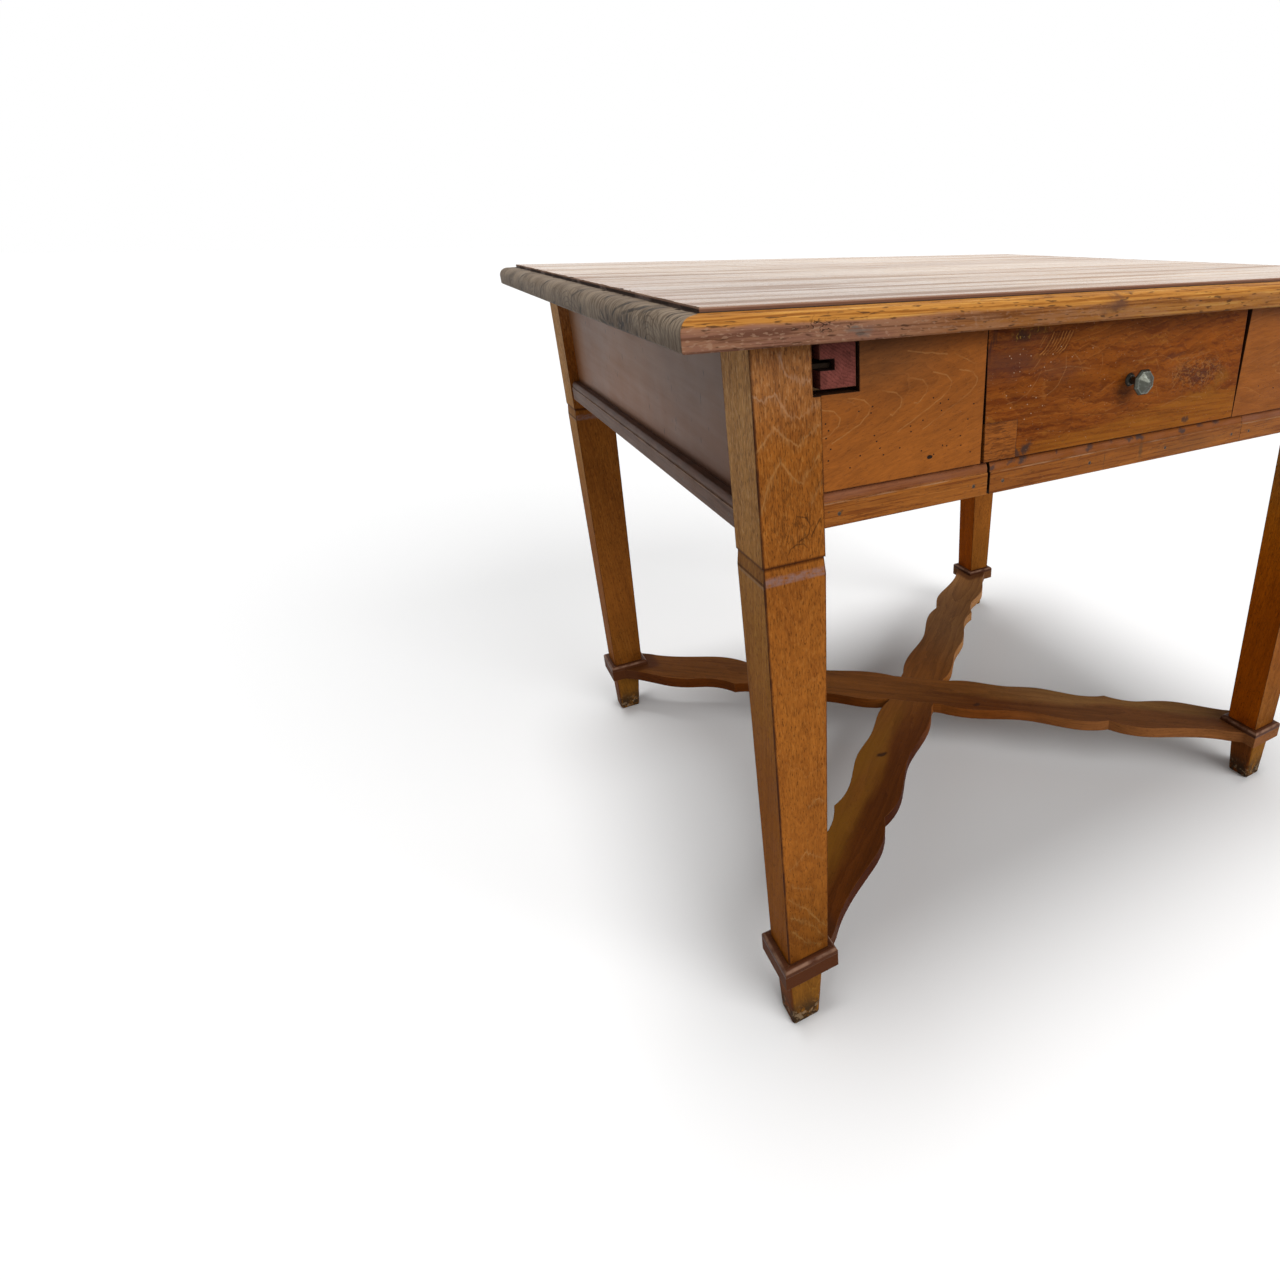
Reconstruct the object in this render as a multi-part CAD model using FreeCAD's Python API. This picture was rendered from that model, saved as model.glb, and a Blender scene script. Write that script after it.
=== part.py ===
import FreeCAD, Part
import math
import os

# Tavern table with a sliding top, one drawer and a crossed stretcher.
# Millimetres. Origin on the floor under the middle of the table.
# +X runs along the drawer side to the right, +Y to the back, +Z up.

# Overall sizes
TABLE_HEIGHT = 772.5
TOP_WIDTH = 975.0
TOP_DEPTH = 828.0
TOP_THICKNESS = 27.0
END_OVERHANG = 58.5
FRONT_OVERHANG = 29.0

# Edge moulding of the top
FIELD_INSET = 21.5
FIELD_STEP = 3.5
EDGE_ROUND = 11.5
BAND_FALL = 0.8
UNDER_CHAMFER = 1.5
GLUE_JOINTS = (-199.0, -9.0, 215.0)

# Fits
TOP_GAP = 0.4
JOINT_CLEARANCE = 0.15
SLIDE_CLEARANCE = 0.5
FASTENER_CLEARANCE = 0.05

# Legs
LEG_SIDE = 58.0
ANKLE_SIDE = 47.0
LEG_BLOCK_HEIGHT = 178.6
GROOVE_HEIGHT = 15.0
GROOVE_DEPTH = 1.2

# Feet
FOOT_TOP_SIDE = 40.7
FOOT_TOP_INSET = 0.3
FOOT_FLOOR_SIDE = 33.0
FOOT_FLOOR_INSET = 1.5
FOOT_EDGE_ROUND = 4.0
FOOT_BOTTOM_ROUND = 3.5
FOOT_TENON_RADIUS = 11.0
FOOT_TENON_IN_LEG = 40.0

# Crossed stretcher and the bead round each ankle
STRETCHER_BOTTOM = 75.5
STRETCHER_THICKNESS = 18.0
HEAD_MARGIN = 8.2
BEAD_HEIGHT = 8.5
BEAD_ROUND = 5.0
CROSSING_HALF_WIDTH = 37.0
CROSSING_LAND = 5.0
ARM_END_HALF_WIDTH = 31.0
ARM_END_STRAIGHT = 36.0

# Waves of a stretcher arm: how far along its wavy run each bend lies, and the half width there.
# The long sides face the front and back, the short sides face the ends.
LONG_SIDE_INNER = ((0.128, 42.5), (0.306, 33.5), (0.496, 44.0), (0.594, 34.5))
LONG_SIDE_OUTER = ((0.644, 42.0), (0.696, 44.8), (0.811, 37.3), (0.930, 29.5))
SHORT_SIDE_INNER = ((0.091, 43.5), (0.221, 38.5), (0.334, 43.0), (0.503, 31.8), (0.590, 39.0))
SHORT_SIDE_OUTER = ((0.646, 31.4), (0.689, 30.2), (0.759, 37.0), (0.828, 41.3), (0.919, 36.5))

# Boards of the frame
PANEL_THICKNESS = 22.0
RAIL_THICKNESS = 22.0
END_PANEL_THICKNESS = 20.0
END_PANEL_RECESS = 14.0
TENON_THICKNESS = 8.0
TENON_LENGTH = 22.0
TENON_SHOULDER = 12.0

# Front and back rail with their moulding
APRON_HEIGHT = 154.6
RAIL_HEIGHT = 32.8
MOULDING_RECESS = 3.0
MOULDING_THICKNESS = 11.0
FASCIA_HEIGHT = 21.5
MOULDING_TOP_LEDGE = 3.0
QUIRK = 1.2

# End moulding
END_APRON_HEIGHT = 161.6
END_MOULDING_HEIGHT = 25.5
END_MOULDING_RECESS = 1.5
END_FASCIA_HEIGHT = 17.5
END_MOULDING_TOP_LEDGE = 8.5
END_MOULDING_GAP = 1.2

# Drawer opening, and the leaning edges of the drawer front
OPENING_LEFT = -207.5
OPENING_WIDTH = 368.0
FRONT_LIP = 0.5
LEFT_GAP_TOP = 0.8
LEFT_GAP_BOTTOM = 4.0
RIGHT_GAP_TOP = 8.0
RIGHT_GAP_BOTTOM = 0.8
DRAWER_TOP_GAP = 1.2
DRAWER_FRONT_THICKNESS = 22.0
DRAWER_SIDE_THICKNESS = 12.0
DRAWER_SIDE_DROP = 20.0
DRAWER_LENGTH = 555.0
DRAWER_BACK_THICKNESS = 14.0
DRAWER_BACK_FROM_END = 6.0
DRAWER_BACK_DROP = 8.0
BOTTOM_THICKNESS = 8.0
BOTTOM_LIFT = 9.0
BOTTOM_GROOVE = 5.0
DOVETAIL_LENGTH = 13.0
DOVETAIL_ROOT = 28.0
DOVETAIL_FLARE = 4.0
DOVETAIL_COUNT = 2
PATCH_WIDTH = 38.0
PATCH_HEIGHT = 36.0
PATCH_THICKNESS = 7.0

# Runners under the drawer and guides beside it
RUNNER_HEIGHT = 24.0
RUNNER_LEDGE = 20.0
GUIDE_THICKNESS = 10.0
GUIDE_HEIGHT = 28.0
DRAWER_SIDE_PLAY = 1.0
DRAWER_RUN_GAP = 0.3

# Joints in the front moulding
MOULDING_JOINT_LEFT = -193.5
MOULDING_JOINT_RIGHT = 188.0
MOULDING_GAP_LEFT = 3.2
MOULDING_GAP_RIGHT = 0.5

# Battens under the top, the tongues they slide on and their notches
BATTEN_WIDTH = 32.0
BATTEN_HEIGHT = 39.0
BATTEN_LEG_GAP = 1.0
BATTEN_FRONT_RECESS = 2.5
BATTEN_BACK_GAP = 5.0
SLOT_HEIGHT = 8.0
SLOT_DEPTH = 13.0
SLOT_FLOOR_HEIGHT = 14.5
NOTCH_UNDER_BATTEN = 4.0
NOTCH_INSIDE_BATTEN = 2.0
NOTCH_IN_LEG = 7.0
GUIDE_BLOCK_HEIGHT = 32.0
GUIDE_BLOCK_GAP = 3.0
TONGUE_THICKNESS = 4.0
TONGUE_FRONT_RECESS = 9.0
TONGUE_LEG_GAP = 1.0

# Knob
KNOB_FROM_LEFT = 187.5
KNOB_DROP = 63.0
KNOB_RADIUS = 13.4
KNOB_BACK_RADIUS = 7.5
KNOB_BEVEL_RADIUS = 11.4
KNOB_GROOVE_RADIUS = 10.7
KNOB_POINT_RADIUS = 2.0
KNOB_BACK = 11.5
KNOB_RIM_BACK = 16.5
KNOB_RIM_FRONT = 17.5
KNOB_BEVEL_FRONT = 20.5
KNOB_GROOVE_DEPTH = 0.6
KNOB_FACE = 25.0
KNOB_SIDES = 8
STEM_RADIUS = 3.8
STUD_RADIUS = 2.5
STUD_PAST_NUT = 3.0
ROSE_RADIUS = 6.8
ROSE_THICKNESS = 3.0
ROSE_CROWN_RADIUS = 4.8
NUT_SIDE = 11.0
NUT_THICKNESS = 5.0

# Nails and screws
NAIL_RADIUS = 1.1
NAIL_HEAD_RADIUS = 1.8
NAIL_HEAD_THICKNESS = 1.0
MOULDING_NAIL_LENGTH = 24.0
MOULDING_NAIL_MARGIN = 16.0
MOULDING_NAIL_PITCH = 130.0
DRAWER_NAIL_LENGTH = 26.0
DRAWER_NAIL_MARGIN = 18.0
FLOOR_NAIL_MARGIN = 60.0
FLOOR_NAIL_PITCH = 110.0
RUNNER_NAIL_LENGTH = 48.0
RUNNER_NAIL_MARGIN = 40.0
RUNNER_NAIL_PITCH = 300.0
SCREW_RADIUS = 2.5
SCREW_HEAD_RADIUS = 4.6
SCREW_HEAD_THICKNESS = 2.8
SCREW_HEAD_DEPTH = 9.0
SCREW_IN_BOARD = 15.0

# Places worked out from the sizes above
TOP_UNDERSIDE = TABLE_HEIGHT - TOP_THICKNESS
FRAME_TOP = TOP_UNDERSIDE - TOP_GAP
LEG_OUTER_X = TOP_WIDTH / 2 - END_OVERHANG
LEG_OUTER_Y = TOP_DEPTH / 2 - FRONT_OVERHANG
LEG_INNER_X = LEG_OUTER_X - LEG_SIDE
LEG_INNER_Y = LEG_OUTER_Y - LEG_SIDE
GROOVE_TOP = FRAME_TOP - LEG_BLOCK_HEIGHT
GROOVE_BOTTOM = GROOVE_TOP - GROOVE_HEIGHT
ANKLE_X = LEG_OUTER_X - ANKLE_SIDE / 2
ANKLE_Y = LEG_OUTER_Y - ANKLE_SIDE / 2
STRETCHER_TOP = STRETCHER_BOTTOM + STRETCHER_THICKNESS
HEAD_HALF = ANKLE_SIDE / 2 + HEAD_MARGIN
ARM_LENGTH = math.hypot(ANKLE_X, ANKLE_Y)
ARM_ANGLE = math.degrees(math.atan2(ANKLE_Y, ANKLE_X))
LAP_REACH = CROSSING_HALF_WIDTH * max(ANKLE_X / ANKLE_Y, ANKLE_Y / ANKLE_X)
WAVE_START = LAP_REACH + CROSSING_LAND
WAVE_END = ARM_LENGTH - ARM_END_STRAIGHT
RAIL_BOTTOM = FRAME_TOP - APRON_HEIGHT
RAIL_TOP = RAIL_BOTTOM + RAIL_HEIGHT
END_MOULDING_BOTTOM = FRAME_TOP - END_APRON_HEIGHT
PANEL_BOTTOM = RAIL_TOP
RAIL_FACE_Y = LEG_OUTER_Y - MOULDING_RECESS - MOULDING_THICKNESS
RAIL_BACK_Y = RAIL_FACE_Y - RAIL_THICKNESS
PANEL_BACK_Y = LEG_OUTER_Y - PANEL_THICKNESS
END_PANEL_FACE_X = LEG_OUTER_X - END_PANEL_RECESS
END_PANEL_BACK_X = END_PANEL_FACE_X - END_PANEL_THICKNESS
OPENING_RIGHT = OPENING_LEFT + OPENING_WIDTH
BATTEN_OUTER_X = LEG_INNER_X - BATTEN_LEG_GAP
BATTEN_INNER_X = BATTEN_OUTER_X - BATTEN_WIDTH
BATTEN_BOTTOM = TOP_UNDERSIDE - BATTEN_HEIGHT
SLOT_BOTTOM = BATTEN_BOTTOM + SLOT_FLOOR_HEIGHT
SLOT_INNER_X = BATTEN_OUTER_X - SLOT_DEPTH
NOTCH_BOTTOM = BATTEN_BOTTOM - NOTCH_UNDER_BATTEN
BATTEN_FRONT_Y = -LEG_OUTER_Y + BATTEN_FRONT_RECESS
BATTEN_BACK_Y = PANEL_BACK_Y - BATTEN_BACK_GAP
DRAWER_FACE_Y = -LEG_OUTER_Y
DRAWER_BOX_Y = DRAWER_FACE_Y + DRAWER_FRONT_THICKNESS
DRAWER_END_Y = DRAWER_FACE_Y + DRAWER_LENGTH
DRAWER_BOTTOM = RAIL_TOP + DRAWER_RUN_GAP
DRAWER_TOP = TOP_UNDERSIDE - DRAWER_TOP_GAP
DRAWER_LEFT_X = OPENING_LEFT + LEFT_GAP_BOTTOM + FRONT_LIP
DRAWER_RIGHT_X = OPENING_RIGHT - RIGHT_GAP_TOP - FRONT_LIP
DRAWER_SIDE_TOP = DRAWER_TOP - DRAWER_SIDE_DROP
DRAWER_BACK_Y = DRAWER_END_Y - DRAWER_BACK_FROM_END - DRAWER_BACK_THICKNESS
FLOOR_BOARD_BOTTOM = DRAWER_BOTTOM + BOTTOM_LIFT
FLOOR_BOARD_TOP = FLOOR_BOARD_BOTTOM + BOTTOM_THICKNESS
KNOB_X = OPENING_LEFT + KNOB_FROM_LEFT
KNOB_HEIGHT = TOP_UNDERSIDE - KNOB_DROP

UP = FreeCAD.Vector(0, 0, 1)
ALONG_X = FreeCAD.Vector(1, 0, 0)
ALONG_Y = FreeCAD.Vector(0, 1, 0)
ORIGIN = FreeCAD.Vector(0, 0, 0)
PAST = 1.0
QUARTER_TURN = 90.0

nodes = {}


def point(x, y, z):
    return FreeCAD.Vector(x, y, z)


def block(x0, x1, y0, y1, z0, z1):
    """A box between two corners."""
    return Part.makeBox(x1 - x0, y1 - y0, z1 - z0, point(x0, y0, z0))


def grown_block(limits, margin):
    """The box of the same limits with a margin on every side."""
    x0, x1, y0, y1, z0, z1 = limits
    return block(x0 - margin, x1 + margin, y0 - margin, y1 + margin, z0 - margin, z1 + margin)


def across_x(shape):
    """The mirror image on the other side of the table's middle, left for right."""
    return shape.mirror(ORIGIN, ALONG_X)


def across_y(shape):
    """The mirror image on the other side of the table's middle, front for back."""
    return shape.mirror(ORIGIN, ALONG_Y)


def joined(*shapes):
    """Shapes that touch, as one solid."""
    return shapes[0].fuse(list(shapes[1:])).removeSplitter()


def group(solids):
    return Part.makeCompound(solids)


def square_wire(low, high, z):
    corners = [(low, low), (high, low), (high, high), (low, high), (low, low)]
    return Part.makePolygon([point(x, y, z) for x, y in corners])


def tapered_post(low0, high0, z0, low1, high1, z1):
    """A post of square section that changes evenly from one height to the other."""
    return Part.makeLoft([square_wire(low0, high0, z0), square_wire(low1, high1, z1)], True, True)


def fastener(shank_radius, length, head_radius, head_thickness, at, along, margin=0.0):
    """A nail or screw: its head's outer face lies at the point, and the shank runs along the direction."""
    inward = FreeCAD.Vector(along).normalize()
    start = at - inward * margin
    head = Part.makeCylinder(head_radius + margin, head_thickness + 2 * margin, start, inward)
    shank = Part.makeCylinder(shank_radius + margin, length + 2 * margin, start, inward)
    return head.fuse(shank).removeSplitter()


def nails_and_holes(places, length):
    """Nails at (point, direction) places, and the holes that hold them."""
    sizes = (NAIL_RADIUS, length, NAIL_HEAD_RADIUS, NAIL_HEAD_THICKNESS)
    nails = [fastener(*sizes, at, along) for at, along in places]
    holes = [fastener(*sizes, at, along, FASTENER_CLEARANCE) for at, along in places]
    return nails, holes


# Tenons of the front left corner, which the other corners mirror
def tenon_along_x(y_middle, z0, z1):
    """A tenon that enters the front left leg from its inner side."""
    y0 = y_middle - TENON_THICKNESS / 2
    return (-LEG_INNER_X - TENON_LENGTH, -LEG_INNER_X, y0, y0 + TENON_THICKNESS, z0, z1)


def tenon_along_y(x_middle, z0, z1):
    """A tenon that enters the front left leg from its back."""
    x0 = x_middle - TENON_THICKNESS / 2
    return (x0, x0 + TENON_THICKNESS, -LEG_INNER_Y - TENON_LENGTH, -LEG_INNER_Y, z0, z1)


PANEL_TENON = tenon_along_x(
    -(LEG_OUTER_Y + PANEL_BACK_Y) / 2, PANEL_BOTTOM + TENON_SHOULDER, NOTCH_BOTTOM - TENON_SHOULDER
)
RAIL_TENON = tenon_along_x(
    -(RAIL_FACE_Y + RAIL_BACK_Y) / 2,
    RAIL_BOTTOM + TENON_SHOULDER / 2,
    RAIL_TOP - TENON_SHOULDER / 2,
)
END_TENON = tenon_along_y(
    -(END_PANEL_FACE_X + END_PANEL_BACK_X) / 2,
    END_MOULDING_BOTTOM + TENON_SHOULDER,
    FRAME_TOP - TENON_SHOULDER,
)
CORNER_TENONS = (PANEL_TENON, RAIL_TENON, END_TENON)


# Legs
def foot_axis():
    """Middle of the foot's tenon in the front left corner."""
    middle = FOOT_TOP_INSET + FOOT_TOP_SIDE / 2
    return -LEG_OUTER_X + middle, -LEG_OUTER_Y + middle


def foot_tenon(margin=0.0):
    x, y = foot_axis()
    height = STRETCHER_THICKNESS + FOOT_TENON_IN_LEG + margin
    return Part.makeCylinder(FOOT_TENON_RADIUS + margin, height, point(x, y, STRETCHER_BOTTOM), UP)


def plain_leg():
    """The front left leg before its notch: block, ring groove and a taper on the two inner sides."""
    upper = tapered_post(0, LEG_SIDE, GROOVE_TOP, 0, LEG_SIDE, FRAME_TOP)
    low, high = GROOVE_DEPTH, LEG_SIDE - GROOVE_DEPTH
    ring = tapered_post(0, LEG_SIDE, GROOVE_BOTTOM, low, high, GROOVE_TOP)
    lower = tapered_post(0, ANKLE_SIDE, STRETCHER_TOP, 0, LEG_SIDE, GROOVE_BOTTOM)
    leg = joined(upper, ring, lower)
    leg.translate(point(-LEG_OUTER_X, -LEG_OUTER_Y, 0))
    mortises = [grown_block(tenon, JOINT_CLEARANCE) for tenon in CORNER_TENONS]
    return leg.cut(mortises + [foot_tenon(JOINT_CLEARANCE)])


def leg_notch():
    """The cut in a front leg that gives the batten room."""
    x1 = -LEG_INNER_X + PAST
    x0 = -LEG_INNER_X - NOTCH_IN_LEG
    return block(x0, x1, -LEG_OUTER_Y - PAST, -LEG_INNER_Y + PAST, NOTCH_BOTTOM, FRAME_TOP + PAST)


def make_legs():
    back_leg = plain_leg()
    front_leg = back_leg.cut(leg_notch())
    nodes["leg_front_left"] = front_leg
    nodes["leg_front_right"] = across_x(front_leg)
    nodes["leg_back_left"] = across_y(back_leg)
    nodes["leg_back_right"] = across_x(across_y(back_leg))


# Feet
def make_feet():
    floor_end = FOOT_FLOOR_INSET + FOOT_FLOOR_SIDE
    top_end = FOOT_TOP_INSET + FOOT_TOP_SIDE
    foot = tapered_post(FOOT_FLOOR_INSET, floor_end, 0, FOOT_TOP_INSET, top_end, STRETCHER_BOTTOM)
    upright_edges = [edge for edge in foot.Edges if edge.BoundBox.ZLength > STRETCHER_BOTTOM / 2]
    foot = foot.makeFillet(FOOT_EDGE_ROUND, upright_edges)
    bottom_edges = [edge for edge in foot.Edges if edge.BoundBox.ZMax < STRETCHER_BOTTOM / 2]
    foot = foot.makeFillet(FOOT_BOTTOM_ROUND, bottom_edges)
    foot.translate(point(-LEG_OUTER_X, -LEG_OUTER_Y, 0))
    foot = joined(foot, foot_tenon())
    nodes["foot_front_left"] = foot
    nodes["foot_front_right"] = across_x(foot)
    nodes["foot_back_left"] = across_y(foot)
    nodes["foot_back_right"] = across_x(across_y(foot))


# Crossed stretcher
def curve_through(bends, side):
    """A smooth edge of an arm through its bends."""
    run = WAVE_END - WAVE_START
    curve = Part.BSplineCurve()
    curve.interpolate([point(WAVE_START + run * along, side * half, 0) for along, half in bends])
    return curve.toShape()


def arm_side(inner, outer, side):
    """One long edge of an arm from the crossing to its end: straight, wavy, a cusp, wavy, straight."""
    first_bend = (0.0, CROSSING_HALF_WIDTH)
    last_bend = (1.0, ARM_END_HALF_WIDTH)
    root = side * CROSSING_HALF_WIDTH
    tip = side * ARM_END_HALF_WIDTH
    return [
        Part.makeLine(point(0, root, 0), point(WAVE_START, root, 0)),
        curve_through((first_bend,) + inner, side),
        curve_through((inner[-1],) + outer + (last_bend,), side),
        Part.makeLine(point(WAVE_END, tip, 0), point(ARM_LENGTH, tip, 0)),
    ]


def full_plank():
    """The plank from the back left foot to the front right foot, before its lap."""
    long_side = arm_side(LONG_SIDE_INNER, LONG_SIDE_OUTER, -1)
    short_side = arm_side(SHORT_SIDE_INNER, SHORT_SIDE_OUTER, 1)
    tip = Part.makeLine(
        point(ARM_LENGTH, -ARM_END_HALF_WIDTH, 0), point(ARM_LENGTH, ARM_END_HALF_WIDTH, 0)
    )
    root = Part.makeLine(point(0, CROSSING_HALF_WIDTH, 0), point(0, -CROSSING_HALF_WIDTH, 0))
    outline = Part.Wire(Part.__sortEdges__(long_side + [tip] + short_side + [root]))
    arm = Part.Face(outline).extrude(UP * STRETCHER_THICKNESS)
    arm.translate(point(0, 0, STRETCHER_BOTTOM))
    other_arm = arm.copy()
    other_arm.rotate(ORIGIN, UP, 2 * QUARTER_TURN)
    bar = joined(arm, other_arm)
    bar.rotate(ORIGIN, UP, -ARM_ANGLE)
    heads = [stretcher_head(1, -1), stretcher_head(-1, 1)]
    return joined(bar, *heads)


def stretcher_head(side_x, side_y):
    """The square end of a plank under a leg."""
    x, y = side_x * ANKLE_X, side_y * ANKLE_Y
    limits = (x - HEAD_HALF, x + HEAD_HALF, y - HEAD_HALF, y + HEAD_HALF)
    return block(*limits, STRETCHER_BOTTOM, STRETCHER_TOP)


def make_stretcher():
    upper = full_plank()
    lower = across_x(upper)
    crossing = upper.common(lower)
    middle = (STRETCHER_BOTTOM + STRETCHER_TOP) / 2
    reach = ARM_LENGTH
    top_half = block(-reach, reach, -reach, reach, middle, STRETCHER_TOP + PAST)
    bottom_half = block(-reach, reach, -reach, reach, STRETCHER_BOTTOM - PAST, middle)
    hole = foot_tenon(JOINT_CLEARANCE)
    holes = [hole, across_x(hole), across_y(hole), across_x(across_y(hole))]
    nodes["stretcher_plank_upper"] = upper.cut([crossing.common(bottom_half)] + holes)
    nodes["stretcher_plank_lower"] = lower.cut([crossing.common(top_half)] + holes)


def ankle_bead():
    """Four mitred strips of half round bead about the front left ankle, on the stretcher's head."""
    lean = (LEG_SIDE - ANKLE_SIDE) * BEAD_HEIGHT / (GROOVE_BOTTOM - STRETCHER_TOP)
    inner = ANKLE_SIDE / 2 + lean + JOINT_CLEARANCE
    outer = HEAD_HALF
    z0, z1 = STRETCHER_TOP, STRETCHER_TOP + BEAD_HEIGHT
    turn = BEAD_ROUND * (1 - math.sqrt(0.5))
    edges = [
        Part.makeLine(point(0, -inner, z0), point(0, -outer, z0)),
        Part.makeLine(point(0, -outer, z0), point(0, -outer, z1 - BEAD_ROUND)),
        Part.Arc(
            point(0, -outer, z1 - BEAD_ROUND),
            point(0, -outer + turn, z1 - turn),
            point(0, -outer + BEAD_ROUND, z1),
        ).toShape(),
        Part.makeLine(point(0, -outer + BEAD_ROUND, z1), point(0, -inner, z1)),
        Part.makeLine(point(0, -inner, z1), point(0, -inner, z0)),
    ]
    strip = Part.Face(Part.Wire(edges)).extrude(ALONG_X * (2 * outer))
    strip.translate(point(-outer, 0, 0))
    wedge_wire = Part.makePolygon(
        [point(0, 0, z0), point(-outer, -outer, z0), point(outer, -outer, z0), point(0, 0, z0)]
    )
    strip = strip.common(Part.Face(wedge_wire).extrude(UP * BEAD_HEIGHT))
    strips = []
    for turn_angle in (0, QUARTER_TURN, 2 * QUARTER_TURN, 3 * QUARTER_TURN):
        turned = strip.copy()
        turned.rotate(ORIGIN, UP, turn_angle)
        turned.translate(point(-ANKLE_X, -ANKLE_Y, 0))
        strips.append(turned)
    return group(strips)


def make_ankle_beads():
    bead = ankle_bead()
    nodes["ankle_bead_front_left"] = bead
    nodes["ankle_bead_front_right"] = across_x(bead)
    nodes["ankle_bead_back_left"] = across_y(bead)
    nodes["ankle_bead_back_right"] = across_x(across_y(bead))


# Mouldings
def moulding_profile(thickness, height, fascia, ledge):
    """A flat fascia below a quarter round. Depth along +Y from the back plane, height along +Z."""
    quirk_depth = thickness - QUIRK
    bead_start = fascia + QUIRK
    rise = height - bead_start
    fall = quirk_depth - ledge
    bulge = point(0, ledge + fall * math.sqrt(0.5), bead_start + rise * math.sqrt(0.5))
    outline = [
        (0, 0),
        (thickness, 0),
        (thickness, fascia),
        (quirk_depth, fascia),
        (quirk_depth, bead_start),
    ]
    corners = [point(0, y, z) for y, z in outline]
    edges = [Part.makeLine(a, b) for a, b in zip(corners, corners[1:])]
    bead_end = point(0, ledge, height)
    edges.append(Part.Arc(corners[-1], bulge, bead_end).toShape())
    edges.append(Part.makeLine(bead_end, point(0, 0, height)))
    edges.append(Part.makeLine(point(0, 0, height), corners[0]))
    return Part.Face(Part.Wire(edges))


def front_moulding(x0, x1):
    """A length of the front moulding against the rail's face."""
    face = moulding_profile(MOULDING_THICKNESS, RAIL_HEIGHT, FASCIA_HEIGHT, MOULDING_TOP_LEDGE)
    length = face.extrude(ALONG_X * (x1 - x0))
    length = across_y(length)
    length.translate(point(x0, -RAIL_FACE_Y, RAIL_BOTTOM))
    return length


def end_moulding():
    """The moulding on the left end panel."""
    face = moulding_profile(
        END_PANEL_RECESS - END_MOULDING_RECESS,
        END_MOULDING_HEIGHT,
        END_FASCIA_HEIGHT,
        END_MOULDING_TOP_LEDGE,
    )
    start = -LEG_INNER_Y + END_MOULDING_GAP
    length = face.extrude(ALONG_X * (-2 * start))
    length.rotate(ORIGIN, UP, QUARTER_TURN)
    length.translate(point(-END_PANEL_FACE_X, start, END_MOULDING_BOTTOM))
    return length


# Frame boards
def with_end_tenons(board, tenon):
    """A board between the legs with the same tenon at its left and right ends."""
    tongue = block(*tenon)
    return joined(board, tongue, across_x(tongue))


def front_rail():
    rail = block(-LEG_INNER_X, LEG_INNER_X, -RAIL_FACE_Y, -RAIL_BACK_Y, RAIL_BOTTOM, RAIL_TOP)
    return with_end_tenons(rail, RAIL_TENON)


def front_panel(opening_edge):
    """A fixed board between the left leg and a drawer opening, notched for the batten."""
    y0, y1 = -LEG_OUTER_Y, -PANEL_BACK_Y
    panel = block(-LEG_INNER_X, opening_edge, y0, y1, PANEL_BOTTOM, FRAME_TOP)
    notch_end = -BATTEN_INNER_X + NOTCH_INSIDE_BATTEN
    notch = block(-LEG_INNER_X - PAST, notch_end, y0 - PAST, y1 + PAST, NOTCH_BOTTOM, FRAME_TOP + PAST)
    return joined(panel, block(*PANEL_TENON)).cut(notch)


def back_panel():
    panel = block(-LEG_INNER_X, LEG_INNER_X, PANEL_BACK_Y, LEG_OUTER_Y, PANEL_BOTTOM, FRAME_TOP)
    tongue = across_y(block(*PANEL_TENON))
    return joined(panel, tongue, across_x(tongue))


def end_panel():
    """The left end board, set back behind the legs' outer faces."""
    x0, x1 = -END_PANEL_FACE_X, -END_PANEL_BACK_X
    panel = block(x0, x1, -LEG_INNER_Y, LEG_INNER_Y, END_MOULDING_BOTTOM, FRAME_TOP)
    tongue = block(*END_TENON)
    return joined(panel, tongue, across_y(tongue))


def nail_row(start, end, margin, pitch):
    """Even places for nails between two ends, near the wanted pitch."""
    room = end - start - 2 * margin
    gaps = max(1, round(room / pitch))
    return [start + margin + room * index / gaps for index in range(gaps + 1)]


def moulding_nail_row(start, end):
    return nail_row(start, end, MOULDING_NAIL_MARGIN, MOULDING_NAIL_PITCH)


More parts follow.
